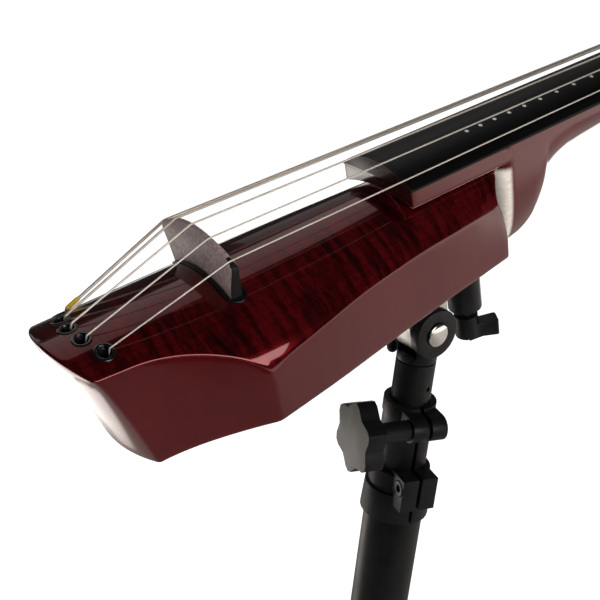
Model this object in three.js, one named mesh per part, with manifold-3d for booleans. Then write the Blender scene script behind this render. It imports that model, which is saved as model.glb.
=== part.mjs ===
// Slim five-string solid-body cello on its tripod stand.
// Millimetres. +Z is up, the neck points along +X, the player's left hand side of the body is +Y.
// The instrument is drawn in its own frame (crest of the top under the bridge at the origin),
// then tilted about the stand's hinge so that the neck rises.
import * as THREE from "three";
import { mergeVertices } from "three/addons/utils/BufferGeometryUtils.js";
import Module from "manifold-3d";

const wasm = await Module();
wasm.setup();

// ---- driving dimensions ----
const GAP = 0.3;
const STRING_LENGTH = 690;
const STRING_COUNT = 5;
const NECK_RISE_DEG = 18;
const HINGE_HEIGHT = 640;

const CREST_SLOPE = -0.032;
const TOP_RADIUS = 56;
const BACK_Z = -68;
const JOINT_Z = -37;
const BODY_END_X = 178;
const TAIL_CORNER_X = -79.5;
const TAIL_RADIUS = 75;

const BOARD_START_X = 111.7;
const BOARD_START_HALF = 29;
const BOARD_END_HALF = 21;
const BOARD_CROWN_Z = 13.4;
const BOARD_SLOPE = -0.0365;
const CROWN_SLOPE = -0.04165;
const BOARD_RADIUS = 47;
const BOARD_EDGE = 1.3;
const BLADE_HEIGHT = 9.2;

const BRIDGE_RADIUS = 57.6;
const BRIDGE_SPACING = 15.5;
const BRIDGE_STRING_Z = 24.8;
const BRIDGE_TOP_THICK = 2.2;
const BRIDGE_FOOT_THICK = 6.5;
const BRIDGE_FOOT_HALF = 27.5;

const NUT_SPACING = 8.5;
const NUT_STRING_Z = -9.6;
const HOLE_SPACING = 11.7;
const HOLE_RADIUS = 4.5;

const HEAD_THICK = 17;
const HEAD_TILT = 0.12;
const POST_RADIUS = 3;

const HINGE_X = 130.5;
const HINGE_Z = -105.6;
const INNER_TUBE_R = 12.4;
const SLEEVE_R = 15.8;
const CLAMP_TURN = (-13.3 * Math.PI) / 180;
const COLUMN_R = 19;
const LEG_PIVOT_Z = 300;
const LEG_PIVOT_R = 36;
const LEG_FOOT_R = 340;

// ---- materials ----
function material(color, roughness, metalness) {
  return new THREE.MeshStandardMaterial({ color, roughness, metalness });
}
const flameRed = () => material(0x4a0a0e, 0.12, 0.0);
const deepRed = () => material(0x6b2b30, 0.15, 0.0);
const ebony = () => material(0x0d0d0e, 0.35, 0.0);
const bridgeWood = () => material(0x39363c, 0.45, 0.0);
const blackPlastic = () => material(0x151515, 0.4, 0.0);
const steel = () => material(0xb9b2a6, 0.3, 1.0);
const chrome = () => material(0xd9d5cc, 0.15, 1.0);
const castSilver = () => material(0x9c9a92, 0.35, 0.9);
const blackMetal = () => material(0x1d1d1f, 0.4, 0.6);
const rubber = () => material(0x0a0a0a, 0.8, 0.0);

// ---- solids and booleans ----
function toSolid(geometry) {
  const bare = geometry.clone();
  bare.deleteAttribute("normal");
  bare.deleteAttribute("uv");
  const merged = mergeVertices(bare, 1e-4);
  const vertProperties = new Float32Array(merged.attributes.position.array);
  const triVerts = new Uint32Array(merged.index.array);
  return new wasm.Manifold(new wasm.Mesh({ numProp: 3, vertProperties, triVerts }));
}

function toGeometry(solid) {
  const mesh = solid.getMesh();
  const geometry = new THREE.BufferGeometry();
  const corners = new Float32Array(mesh.vertProperties);
  const triangles = new Uint32Array(mesh.triVerts);
  geometry.setAttribute("position", new THREE.BufferAttribute(corners, 3));
  geometry.setIndex(new THREE.BufferAttribute(triangles, 1));
  geometry.computeVertexNormals();
  return geometry;
}

function cut(base, ...tools) {
  return toGeometry(tools.reduce((solid, tool) => solid.subtract(toSolid(tool)), toSolid(base)));
}

function join(base, ...others) {
  return toGeometry(others.reduce((solid, other) => solid.add(toSolid(other)), toSolid(base)));
}

function common(base, other) {
  return toGeometry(toSolid(base).intersect(toSolid(other)));
}

// ---- basic shapes ----
function block(x0, x1, y0, y1, z0, z1) {
  const box = new THREE.BoxGeometry(x1 - x0, y1 - y0, z1 - z0);
  return box.translate((x0 + x1) / 2, (y0 + y1) / 2, (z0 + z1) / 2);
}

// Cylinder along Z from z0 to z1; r1 is the radius at the upper end.
function rod(radius, z0, z1, sides = 20, r1 = radius) {
  const cylinder = new THREE.CylinderGeometry(r1, radius, z1 - z0, sides);
  return cylinder.rotateX(Math.PI / 2).translate(0, 0, (z0 + z1) / 2);
}

// Ring-shaped tube along Z.
function pipe(inner, outer, z0, z1, sides = 24) {
  const profile = [
    new THREE.Vector2(inner, z0),
    new THREE.Vector2(outer, z0),
    new THREE.Vector2(outer, z1),
    new THREE.Vector2(inner, z1),
    new THREE.Vector2(inner, z0),
  ];
  return new THREE.LatheGeometry(profile, sides).rotateX(Math.PI / 2);
}

// Turned solid about Z from [radius, height] pairs that begin and end on the axis.
function turned(pairs, sides = 24) {
  const profile = pairs.map(([r, z]) => new THREE.Vector2(r, z));
  return new THREE.LatheGeometry(profile, sides).rotateX(Math.PI / 2);
}

const alongY = (geometry) => geometry.rotateX(-Math.PI / 2);
const alongX = (geometry) => geometry.rotateY(Math.PI / 2);

// Solid lofted along X: section(x) gives the same number of [y, z] points at every station,
// anticlockwise as seen from +X.
function loft(stations, section) {
  const rings = stations.map((x) => section(x));
  const sides = rings[0].length;
  const steps = stations.length - 1;
  const geometry = new THREE.CylinderGeometry(1, 1, 1, sides, steps);
  const position = geometry.attributes.position;
  for (let i = 0; i < position.count; i += 1) {
    const up = position.getX(i);
    const side = position.getZ(i);
    const k = Math.round((position.getY(i) + 0.5) * steps);
    const ring = rings[k];
    if (Math.hypot(up, side) < 0.5) {
      const cy = ring.reduce((sum, p) => sum + p[0], 0) / sides;
      const cz = ring.reduce((sum, p) => sum + p[1], 0) / sides;
      position.setXYZ(i, stations[k], cy, cz);
      continue;
    }
    const turn = Math.atan2(up, side) / (2 * Math.PI);
    const j = (Math.round(turn * sides) + sides) % sides;
    position.setXYZ(i, stations[k], ring[j][0], ring[j][1]);
  }
  return geometry;
}

// Straight-line interpolation in a list of [x, value] pairs.
function along(pairs, x) {
  if (x <= pairs[0][0]) return pairs[0][1];
  for (let i = 1; i < pairs.length; i += 1) {
    const [x1, v1] = pairs[i];
    const [x0, v0] = pairs[i - 1];
    if (x <= x1) return v0 + ((v1 - v0) * (x - x0)) / (x1 - x0);
  }
  return pairs[pairs.length - 1][1];
}

// ---- body outline ----
// Half width of the body: flared tail, concave waist, pointed corners, long taper to the neck.
const BODY_HALF = [
  [-110, 33.5],
  [-80, 33.5],
  [-69, 34],
  [-55, 35],
  [-42, 37.6],
  [-30, 41.3],
  [-18, 45.8],
  [-10, 49.2],
  [-4, 52],
  [0, 52.3],
  [4, 52],
  [38, 48.2],
  [66, 44.2],
  [96, 40],
  [128, 36],
  [178, 30],
];
// Radius of the carved arch: the top gets rounder towards the neck.
const ARCH = [
  [-110, TOP_RADIUS],
  [10, TOP_RADIUS],
  [38, 54.5],
  [66, 48],
  [96, 42],
  [128, 39],
  [178, 31.5],
];
const BODY_STATIONS = [
  -104, -80, -69, -55, -42, -30, -18, -10, -4,
  0, 4, 20, 38, 66, 96, 128, 152, 178,
];

function archZ(x, y, lift = 0) {
  const r = along(ARCH, x) + lift;
  const crest = CREST_SLOPE * x + lift;
  return crest - (r - Math.sqrt(Math.max(0, r * r - y * y)));
}

// Cross-section with a flat bottom at z0 and the arch (raised by lift) above it.
function archSection(x, z0, half, lift = 0, points = 17) {
  const ring = [];
  for (let i = 0; i < points; i += 1) {
    const y = half * Math.cos((Math.PI * i) / (points - 1));
    ring.push([y, archZ(x, y, lift)]);
  }
  ring.push([-half, z0]);
  ring.push([0, z0]);
  ring.push([half, z0]);
  return ring;
}

// Everything on the neck side of the undercut, rounded tail face.
function tailLimit() {
  const arcPoints = 16;
  const span = 62;
  const shape = new THREE.Shape();
  shape.moveTo(260, -span);
  shape.lineTo(260, span);
  for (let i = 0; i <= arcPoints; i += 1) {
    const y = span - (2 * span * i) / arcPoints;
    const sag = TAIL_RADIUS - Math.sqrt(TAIL_RADIUS * TAIL_RADIUS - y * y);
    shape.lineTo(sag - 7.9, y);
  }
  shape.closePath();
  const z0 = -75;
  const depth = 90;
  const solid = new THREE.ExtrudeGeometry(shape, { depth, steps: 15, bevelEnabled: false });
  solid.translate(0, 0, z0);
  const position = solid.attributes.position;
  for (let i = 0; i < position.count; i += 1) {
    const x = position.getX(i);
    if (x > 200) continue;
    const s = -position.getZ(i) - 9;
    const lean = s > 0 ? 16.7 * (s / 57) ** 0.75 : -10 * (-s / 57) ** 0.75;
    position.setX(i, x + TAIL_CORNER_X + lean);
  }
  return solid;
}

const cello = new THREE.Group();
const stand = new THREE.Group();

function put(parent, name, geometry, look) {
  const mesh = new THREE.Mesh(geometry, look);
  mesh.name = name;
  parent.add(mesh);
  return mesh;
}

const limit = tailLimit();
const half = (x) => along(BODY_HALF, x);

// ---- string layout: string 1 is the thin treble string on the -Y side ----
const STRING_DIAMETERS = [0.8, 0.9, 1.1, 1.4, 1.7];
function bridgeY(i) {
  return (i - 2) * BRIDGE_SPACING;
}
function bridgeArcZ(y) {
  return BRIDGE_STRING_Z - (BRIDGE_RADIUS - Math.sqrt(BRIDGE_RADIUS * BRIDGE_RADIUS - y * y));
}
function holeY(i) {
  return (i - 2) * HOLE_SPACING;
}
function holeX(i) {
  return -74.2 + 0.0116 * holeY(i) ** 2;
}

// ---- carved top ----
const BASE_X0 = -4.5;
const BASE_X1 = 7.5;
const BASE_HALF = 30.3;
function stadium(grow, z0, z1) {
  const r = (BASE_X1 - BASE_X0) / 2 + grow;
  const mid = (BASE_X0 + BASE_X1) / 2;
  const reach = BASE_HALF + grow - r;
  const shape = new THREE.Shape();
  shape.moveTo(mid + r, -reach);
  shape.lineTo(mid + r, reach);
  shape.absarc(mid, reach, r, 0, Math.PI, false);
  shape.lineTo(mid - r, -reach);
  shape.absarc(mid, -reach, r, Math.PI, 2 * Math.PI, false);
  const options = { depth: z1 - z0, bevelEnabled: false, curveSegments: 8 };
  return new THREE.ExtrudeGeometry(shape, options).translate(0, 0, z0);
}
const BASE_FLOOR_Z = -20;

const topBlank = loft(BODY_STATIONS, (x) => archSection(x, JOINT_Z, half(x)));
const holeDrills = [];
for (let i = 0; i < STRING_COUNT; i += 1) {
  holeDrills.push(rod(HOLE_RADIUS + GAP, -30, 20, 14).translate(holeX(i), holeY(i), 0));
}
const topPlate = cut(common(topBlank, limit), stadium(GAP, BASE_FLOOR_Z - GAP, 40), ...holeDrills);
put(cello, "carved_top", topPlate, flameRed());

// ---- body core ----
const CONTROL_X = [52, 84];
const CONTROL_Z = -53;
const JACK_X = 20;
const JACK_Z = -53;
const WALL_TURN = -0.138;

function coreSection(x) {
  const w = half(x);
  const z1 = JOINT_Z - GAP;
  return [
    [w, z1],
    [0, z1],
    [-w, z1],
    [-w, BACK_Z],
    [0, BACK_Z],
    [w, BACK_Z],
  ];
}
const coreBlank = common(loft(BODY_STATIONS, coreSection), limit);
const controlBores = CONTROL_X.map((x) => {
  const bore = alongY(rod(3.4, -16, 10, 16)).rotateZ(WALL_TURN);
  return bore.translate(x, half(x), CONTROL_Z);
});
const jackBore = alongY(rod(6.3, -22, 12, 20)).translate(JACK_X, half(JACK_X), JACK_Z);
const COVER = { x0: 22, x1: 92, y: 24, z: BACK_Z + 2.5 };
const recessY = COVER.y + GAP;
const coverRecess = block(COVER.x0 - GAP, COVER.x1 + GAP, -recessY, recessY, BACK_Z - 5, COVER.z + GAP);
const core = cut(coreBlank, ...controlBores, jackBore, coverRecess);
put(cello, "body_core", core, deepRed());

const coverPlate = block(COVER.x0, COVER.x1, -COVER.y, COVER.y, BACK_Z, COVER.z);
put(cello, "electronics_cover", coverPlate, blackPlastic());

// ---- string ferrules ----
for (let i = 0; i < STRING_COUNT; i += 1) {
  const x = holeX(i);
  const y = holeY(i);
  const crown = archZ(x, Math.abs(y) + HOLE_RADIUS);
  const ferrule = pipe(3.5, HOLE_RADIUS, crown - 13, crown + 0.4, 14);
  put(cello, `ferrule_${i + 1}`, ferrule.translate(x, y, 0), blackPlastic());
}

// ---- bridge base and bridge ----
const baseBlank = stadium(0, BASE_FLOOR_Z, 30);
const baseShell = loft([-20, 0, 20], (x) => archSection(x, -40, 50, 0.9));
const BRIDGE_SLOT_Z = -13;
const slotTool = block(-2.2 - GAP, BRIDGE_FOOT_THICK - 1.2 + GAP, -28, 28, BRIDGE_SLOT_Z - GAP, 30);
put(cello, "bridge_base", cut(common(baseBlank, baseShell), slotTool), blackPlastic());

function bridgeOutline() {
  const shape = new THREE.Shape();
  const topHalf = 34.2;
  shape.moveTo(-BRIDGE_FOOT_HALF, BRIDGE_SLOT_Z);
  shape.lineTo(BRIDGE_FOOT_HALF, BRIDGE_SLOT_Z);
  shape.lineTo(BRIDGE_FOOT_HALF + 0.6, -4);
  shape.lineTo(topHalf - 0.6, bridgeArcZ(topHalf) - 2.8);
  const arcPoints = 24;
  for (let i = 0; i <= arcPoints; i += 1) {
    const y = topHalf - (2 * topHalf * i) / arcPoints;
    shape.lineTo(y, bridgeArcZ(y) - 1.15);
  }
  shape.lineTo(-topHalf + 0.6, bridgeArcZ(topHalf) - 2.8);
  shape.lineTo(-BRIDGE_FOOT_HALF - 0.6, -4);
  shape.closePath();
  return shape;
}
function bridgeBlade() {
  const depth = BRIDGE_FOOT_THICK;
  const flat = new THREE.ExtrudeGeometry(bridgeOutline(), { depth, bevelEnabled: false });
  flat.rotateX(Math.PI / 2).rotateZ(Math.PI / 2);
  const position = flat.attributes.position;
  for (let i = 0; i < position.count; i += 1) {
    const front = position.getX(i) > depth / 2;
    const rise = Math.min(1, Math.max(0, (position.getZ(i) + 6) / (BRIDGE_STRING_Z + 5)));
    const thick = BRIDGE_FOOT_THICK + (BRIDGE_TOP_THICK - BRIDGE_FOOT_THICK) * rise;
    const tailFace = -2 + 0.9 * rise;
    position.setX(i, front ? tailFace + thick : tailFace);
  }
  return flat;
}
put(cello, "bridge", bridgeBlade(), bridgeWood());

// ---- neck, fingerboard, nut ----
const BOARD_END_X = STRING_LENGTH - 4;
function boardHalf(x) {
  const t = (x - BOARD_START_X) / (STRING_LENGTH - BOARD_START_X);
  return BOARD_START_HALF + (BOARD_END_HALF - BOARD_START_HALF) * t;
}
function boardLine(x) {
  return BOARD_SLOPE * (x - BOARD_START_X);
}
function boardTop(x, y) {
  const sag = BOARD_RADIUS - Math.sqrt(BOARD_RADIUS * BOARD_RADIUS - y * y);
  return BOARD_CROWN_Z - sag + CROWN_SLOPE * (x - BOARD_START_X);
}
function seatZ(x) {
  return boardTop(BOARD_START_X, BOARD_START_HALF) - BOARD_EDGE + boardLine(x);
}

function boardSection(x) {
  const w = boardHalf(x);
  const points = 17;
  const ring = [];
  for (let i = 0; i < points; i += 1) {
    const y = w * Math.cos((Math.PI * i) / (points - 1));
    ring.push([y, boardTop(x, y)]);
  }
  ring.push([-w, seatZ(x)]);
  ring.push([0, seatZ(x)]);
  ring.push([w, seatZ(x)]);
  return ring;
}
put(cello, "fingerboard", loft([BOARD_START_X, 300, 500, BOARD_END_X], boardSection), ebony());

// Underside of the neck: heel against the body, S-curve, then the slim playing section.
const NECK_UNDER = [
  [178, -68],
  [190, -68],
  [200, -66.5],
  [206, -64],
  [211, -60.5],
  [215.4, -55.5],
  [216.6, -46.5],
  [219, -40.5],
  [225, -35.5],
  [237, -31.8],
  [256, -29.8],
  [285, -28.5],
  [690, -38.5],
];
const HEAD_X0 = STRING_LENGTH + 6;
const HEAD_TOP_Z = -22;
const HEAD_HALF = [
  [690, 21],
  [708, 25],
  [725, 29],
  [742, 29],
  [790, 22],
  [825, 17],
  [848, 13],
];
function headTop(x) {
  return HEAD_TOP_Z - HEAD_TILT * (x - HEAD_X0);
}
const NECK_STATIONS = [
  178, 190, 200, 206, 211, 215.4, 216.6, 219, 225, 237, 256, 285,
  480, 676, 686.3, 692, 708, 725, 742, 790, 825, 840, 848,
];

function neckSection(x) {
  const onHead = x > 687;
  const top = onHead ? headTop(Math.max(x, HEAD_X0)) : seatZ(x) - GAP;
  const w = onHead ? along(HEAD_HALF, x) : boardHalf(x) - 0.4;
  const under = onHead ? Math.min(-38.5, headTop(x) - HEAD_THICK) : along(NECK_UNDER, x);
  const square = along([[178, 5], [212, 3.4], [237, 2.3], [676, 2.3], [708, 8], [848, 8]], x);
  const ring = [
    [w, top],
    [0, top],
    [-w, top],
  ];
  const points = 15;
  for (let i = 1; i < points; i += 1) {
    const a = (Math.PI * i) / points;
    const c = -Math.cos(a);
    const y = w * Math.sign(c) * Math.abs(c) ** (2 / square);
    ring.push([y, top - 1.2 - (top - 1.2 - under) * Math.sin(a) ** (2 / square)]);
  }
  return ring;
}
function bladeSection(x) {
  const w = boardHalf(x) - 0.4;
  const z1 = seatZ(x) - GAP;
  const z0 = z1 - BLADE_HEIGHT;
  return [
    [w, z1],
    [0, z1],
    [-w, z1],
    [-w, z0],
    [0, z0],
    [w, z0],
  ];
}
// Hollow under the overhanging blade, concentric with the board.
function hollowSection(x) {
  const w = boardHalf(x) - 2.2;
  const ring = [];
  const points = 13;
  for (let i = 0; i < points; i += 1) {
    const y = w * Math.cos((Math.PI * i) / (points - 1));
    const r = 54;
    const sag = r - Math.sqrt(r * r - y * y);
    const edge = r - Math.sqrt(r * r - w * w);
    ring.push([y, seatZ(x) - GAP - BLADE_HEIGHT + (edge - sag) * 0.82]);
  }
  ring.push([-w, seatZ(x) - 40]);
  ring.push([w, seatZ(x) - 40]);
  return ring;
}
const neckShaft = loft(NECK_STATIONS, neckSection);
const blade = cut(loft([BOARD_START_X + 0.2, 192], bladeSection), loft([100, 192], hollowSection));
const bodyClear = loft([60, BODY_END_X + GAP], (x) => archSection(x, BACK_Z - 5, half(x) + 4, 2));
const clearBlade = cut(blade, bodyClear);
const frontClear = block(150, BODY_END_X + GAP, -60, 60, -90, -12.8);

const headGroup = new THREE.Group();
const headAngle = Math.atan(HEAD_TILT);
headGroup.position.set(HEAD_X0, 0, HEAD_TOP_Z);
headGroup.rotation.y = headAngle;
cello.add(headGroup);
headGroup.updateMatrix();

const TUNERS = [
  { u: 34, side: -1, string: 0 },
  { u: 80, side: -1, string: 1 },
  { u: 122, side: 1, string: 2 },
  { u: 80, side: 1, string: 3 },
  { u: 34, side: 1, string: 4 },
];
function tunerY(tuner) {
  const lane = Math.abs(tuner.string - 2) * NUT_SPACING;
  return tuner.side * (lane + POST_RADIUS + STRING_DIAMETERS[tuner.string] / 2 + GAP);
}
const postBores = TUNERS.map((tuner) => {
  const bore = rod(POST_RADIUS + 0.35, -HEAD_THICK - 30, 20, 12).translate(tuner.u, tunerY(tuner), 0);
  return bore.applyMatrix4(headGroup.matrix);
});
const neck = cut(join(cut(neckShaft, frontClear), clearBlade), ...postBores);
put(cello, "neck", neck, deepRed());

// Nut with a curved top just below the strings.
function nutArcZ(y) {
  return NUT_STRING_Z - (y * y) / (2 * BOARD_RADIUS);
}
function nutGeometry() {
  const w = BOARD_END_HALF - 0.2;
  const shape = new THREE.Shape();
  shape.moveTo(-w, seatZ(690) + 0.1);
  shape.lineTo(w, seatZ(690) + 0.1);
  const arcPoints = 14;
  for (let i = 0; i <= arcPoints; i += 1) {
    const y = w - (2 * w * i) / arcPoints;
    shape.lineTo(y, nutArcZ(y) - 1.2);
  }
  shape.closePath();
  const solid = new THREE.ExtrudeGeometry(shape, { depth: 5.4, bevelEnabled: false });
  solid.rotateX(Math.PI / 2).rotateZ(Math.PI / 2);
  return solid.translate(BOARD_END_X + GAP, 0, 0);
}
put(cello, "nut", nutGeometry(), ebony());

// ---- strings ----
class StringRoute extends THREE.Curve {
  constructor(points) {
    super();
    this.points = points;
  }
  getPoint(t) {
    const n = this.points.length - 1;
    const k = Math.min(n - 1, Math.floor(t * n + 1e-9));
    return this.points[k].clone().lerp(this.points[k + 1], t * n - k);
  }
  getPointAt(u) {
    return this.getPoint(u);
  }
  getTangentAt(u) {
    const n = this.points.length - 1;
    const k = Math.round(u * n);
    const before = this.points[Math.max(0, k - 1)];
    const after = this.points[Math.min(n, k + 1)];
    const here = this.points[k];
    const a = here.clone().sub(before).normalize();
    const b = after.clone().sub(here).normalize();
    return a.add(b).normalize();
  }
}
function headPoint(u, v, w) {
  return new THREE.Vector3(u, v, w).applyMatrix4(headGroup.matrix);
}
for (let i = 0; i < STRING_COUNT; i += 1) {
  const r = STRING_DIAMETERS[i] / 2;
  const yb = bridgeY(i);
  const zb = bridgeArcZ(yb) - 1.15 + GAP + r;
  const yn = (i - 2) * NUT_SPACING;
  const zn = nutArcZ(yn) - 1.2 + GAP + r;
  const tuner = TUNERS[i];
  const xh = holeX(i);
  const yh = holeY(i);
  const rim = archZ(xh, Math.abs(yh) + HOLE_RADIUS) + 0.4;
  const lip = Math.max(rim + 1.35, archZ(xh, yh) + r + 0.1);
  const points = [
    new THREE.Vector3(xh + 1.4, yh, rim - 6),
    new THREE.Vector3(xh + 1.6, yh, rim - 1.2),
    new THREE.Vector3(xh + 2.6, yh + (yb - yh) * 0.02, lip),
    new THREE.Vector3(-0.9, yb, zb),
    new THREE.Vector3(0.9, yb, zb),
    new THREE.Vector3(STRING_LENGTH - 3.4, yn, zn),
    new THREE.Vector3(STRING_LENGTH + 1.7, yn, zn),
    headPoint(tuner.u - 3, yn, 8),
    headPoint(tuner.u + 1.5, yn, 8),
  ];
  const section = new THREE.Shape().absarc(0, 0, r, 0, 2 * Math.PI, false);
  const route = new StringRoute(points);
  const steps = points.length - 1;
  const options = { steps, bevelEnabled: false, extrudePath: route, curveSegments: 3 };
  put(cello, `string_${i + 1}`, new THREE.ExtrudeGeometry(section, options), steel());
}

// ---- tuning machines ----
const POST_PROFILE = [
  [0, -15],
  [POST_RADIUS, -15],
  [POST_RADIUS, 5],
  [2.7, 8],
  [POST_RADIUS, 11],
  [POST_RADIUS, 12.5],
  [0, 12.5],
];
for (const tuner of TUNERS) {
  const y = tunerY(tuner);
  const n = tuner.string + 1;
  const post = turned(POST_PROFILE, 12);
  put(headGroup, `tuner_post_${n}`, post.translate(tuner.u, y, 0), chrome());
  const drop = -HEAD_THICK - GAP - 0.4;
  const edge = along(HEAD_HALF, HEAD_X0 + tuner.u) + 1;
  const inner = y - tuner.side * 6;
  const outer = y + tuner.side * 7;
  const yLow = Math.min(inner, outer);
  const yHigh = Math.max(inner, outer);
  const housing = block(tuner.u - 7, tuner.u + 7, yLow, yHigh, drop - 10, drop);
  const bore = alongY(rod(2.1, -9, 30, 12)).rotateZ(tuner.side > 0 ? 0 : Math.PI);
  bore.translate(tuner.u, y, drop - 5);
  put(headGroup, `tuner_housing_${n}`, cut(housing, bore), chrome());
  const reach = edge - Math.abs(y) + 5;
  const stem = rod(2, -3, reach + 2, 12);
  const button = new THREE.SphereGeometry(1, 12, 8).scale(10, 5.5, 8).rotateZ(Math.PI / 2);
  button.translate(0, 0, reach + 7);
  const key = alongY(join(stem, button)).rotateZ(tuner.side > 0 ? 0 : Math.PI);
  put(headGroup, `tuner_key_${n}`, key.translate(tuner.u, y, drop - 5), chrome());
}

// ---- controls on the +Y side wall ----
const controlNames = ["volume_knob", "tone_knob"];
const KNOB_PROFILE = [
  [0, -14],
  [3, -14],
  [3, 1.6],
  [9, 1.6],
  [9, 4],
  [8, 13],
  [7, 14],
  [0, 14],
];
const JACK_PROFILE = [
  [0, -20],
  [6, -20],
  [6, 3],
  [3.2, 3],
  [3.2, -15],
  [0, -15],
];
CONTROL_X.forEach((x, index) => {
  const knob = turned(KNOB_PROFILE, 20);
  const placed = alongY(knob).rotateZ(WALL_TURN).translate(x, half(x), CONTROL_Z);
  put(cello, controlNames[index], placed, blackMetal());
});
const jack = alongY(turned(JACK_PROFILE, 20));
put(cello, "output_jack", jack.translate(JACK_X, half(JACK_X), JACK_Z), chrome());

// ---- mounting head under the back ----
const PLATE_Z = BACK_Z - GAP;
const plateShape = new THREE.Shape();
plateShape.absarc(108, 0, 19, Math.PI / 2, (3 * Math.PI) / 2, false);
plateShape.absarc(163, 0, 19, -Math.PI / 2, Math.PI / 2, false);
plateShape.closePath();
const plateOptions = { depth: 5, bevelEnabled: false, curveSegments: 12 };
const plateSolid = new THREE.ExtrudeGeometry(plateShape, plateOptions);
put(cello, "mount_plate", plateSolid.translate(0, 0, PLATE_Z - 5), blackMetal());

const UNDER_Z = PLATE_Z - 5 - GAP;
const KNUCKLE_HALF = 8;
const knuckleShape = new THREE.Shape();
knuckleShape.moveTo(HINGE_X - 15, UNDER_Z);
knuckleShape.lineTo(HINGE_X - 15, HINGE_Z);
knuckleShape.absarc(HINGE_X, HINGE_Z, 15, Math.PI, 2 * Math.PI, false);
knuckleShape.lineTo(HINGE_X + 15, UNDER_Z);
knuckleShape.closePath();
const knuckleOptions = { depth: 2 * KNUCKLE_HALF, bevelEnabled: false, curveSegments: 12 };
const knuckleSolid = new THREE.ExtrudeGeometry(knuckleShape, knuckleOptions);
knuckleSolid.rotateX(Math.PI / 2).translate(0, KNUCKLE_HALF, 0);
const pinBore = alongY(rod(6.35, -30, 30, 24)).translate(HINGE_X, 0, HINGE_Z);
put(cello, "tilt_knuckle", cut(knuckleSolid, pinBore), castSilver());

const POST_X = 166;
const clampPost = pipe(4.4, 10.5, UNDER_Z - 36, UNDER_Z, 24);
put(cello, "clamp_post", clampPost.translate(POST_X, 0, 0), blackMetal());
const leverStem = rod(4, UNDER_Z - 43, UNDER_Z - 12, 14);
const leverHub = rod(7.5, UNDER_Z - 57, UNDER_Z - 41.5, 20);
const wingShape = new THREE.Shape();
wingShape.moveTo(0, -6.5);
wingShape.lineTo(9, -4);
wingShape.lineTo(18.5, -5);
wingShape.lineTo(19.5, -4);
wingShape.lineTo(19.5, 4);
wingShape.lineTo(18.5, 5);
wingShape.lineTo(9, 4);
wingShape.lineTo(0, 6.5);
wingShape.closePath();
const wing = new THREE.ExtrudeGeometry(wingShape, { depth: 10.5, bevelEnabled: false });
wing.translate(0, 0, UNDER_Z - 58.5);
const lever = join(leverStem, leverHub, wing).rotateZ(-0.52);
put(cello, "clamp_lever", lever.translate(POST_X, 0, 0), blackPlastic());

// ---- stand, drawn upright about the Z axis ----
const H = HINGE_HEIGHT;
const EAR_IN = KNUCKLE_HALF + GAP;
const EAR_OUT = EAR_IN + 6;
const farEar = alongY(rod(15.8, EAR_IN, EAR_OUT, 28));
const nearEar = alongY(rod(15.8, -EAR_OUT, -EAR_IN, 28));
const linkBlank = rod(INNER_TUBE_R, -21.5, 0, 24);
const linkGap = block(-20, 20, -EAR_IN, EAR_IN, -16.2, 2);
const links = cut(linkBlank, linkGap);
const plug = rod(INNER_TUBE_R - 1.9, -46, -20, 20);
const earBore = alongY(rod(6.35, -30, 30, 24));
const yoke = cut(join(links, plug, farEar, nearEar), earBore);
put(stand, "yoke", yoke.translate(0, 0, H), blackMetal());

const PIN_PROFILE = [
  [0, -EAR_OUT - 2.4],
  [7.4, -EAR_OUT - 1.4],
  [7.5, -EAR_OUT - GAP],
  [6, -EAR_OUT - GAP],
  [6, EAR_OUT + 7],
  [0, EAR_OUT + 7],
];
const pin = alongY(turned(PIN_PROFILE, 28));
put(stand, "hinge_pin", pin.translate(0, 0, H), chrome());

const tiltHub = pipe(6.3, 9.5, EAR_OUT + GAP, EAR_OUT + 8, 20);
const tiltHandle = new THREE.CapsuleGeometry(3.6, 16, 3, 10).rotateZ(Math.PI / 2);
tiltHandle.translate(-14, 0, EAR_OUT + 5);
const tiltLever = alongY(cut(join(tiltHub, tiltHandle), rod(6.3, 0, 40, 20))).rotateY(-1.44);
put(stand, "tilt_lever", tiltLever.translate(0, 0, H), blackPlastic());

const TUBE_TOP = H - 22;
const TUBE_BOTTOM = H - 250;
const sideHole = alongY(rod(1.6, -30, 0, 10)).translate(2, 0, H - 38);
const innerTube = cut(pipe(INNER_TUBE_R - 1.5, INNER_TUBE_R, TUBE_BOTTOM, TUBE_TOP, 32), sideHole);
put(stand, "inner_tube", innerTube, blackMetal());

// Split sleeve with two ears on the -Y side, squeezed by the star knob's bolt.
const COLLAR_TOP = H - 48.5;
const COLLAR_BOTTOM = H - 108;
const EAR_Y = -22;
const BOLT_Z = H - 58.5;
const sleeve = rod(SLEEVE_R, COLLAR_BOTTOM, COLLAR_TOP - 8, 32);
const rim = rod(SLEEVE_R + 0.7, COLLAR_TOP - 9, COLLAR_TOP, 32);
const earBody = block(-11.5, 11.5, EAR_Y, -8, BOLT_Z - 8, BOLT_Z + 8);
const earRound = alongX(rod(8, -11.5, 11.5, 20)).translate(0, EAR_Y, BOLT_Z);
const sleeveBore = rod(INNER_TUBE_R + 0.35, H - 300, H, 32);
const splitCut = block(-1.1, 1.1, -40, -5, COLLAR_BOTTOM - 1, COLLAR_TOP + 1);
const boltBore = alongX(rod(3.4, -30, 30, 16)).translate(0, EAR_Y, BOLT_Z);
const collar = cut(join(sleeve, rim, earBody, earRound), sleeveBore, splitCut, boltBore);
put(stand, "sleeve_clamp", collar.rotateZ(CLAMP_TURN), blackMetal());

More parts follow.
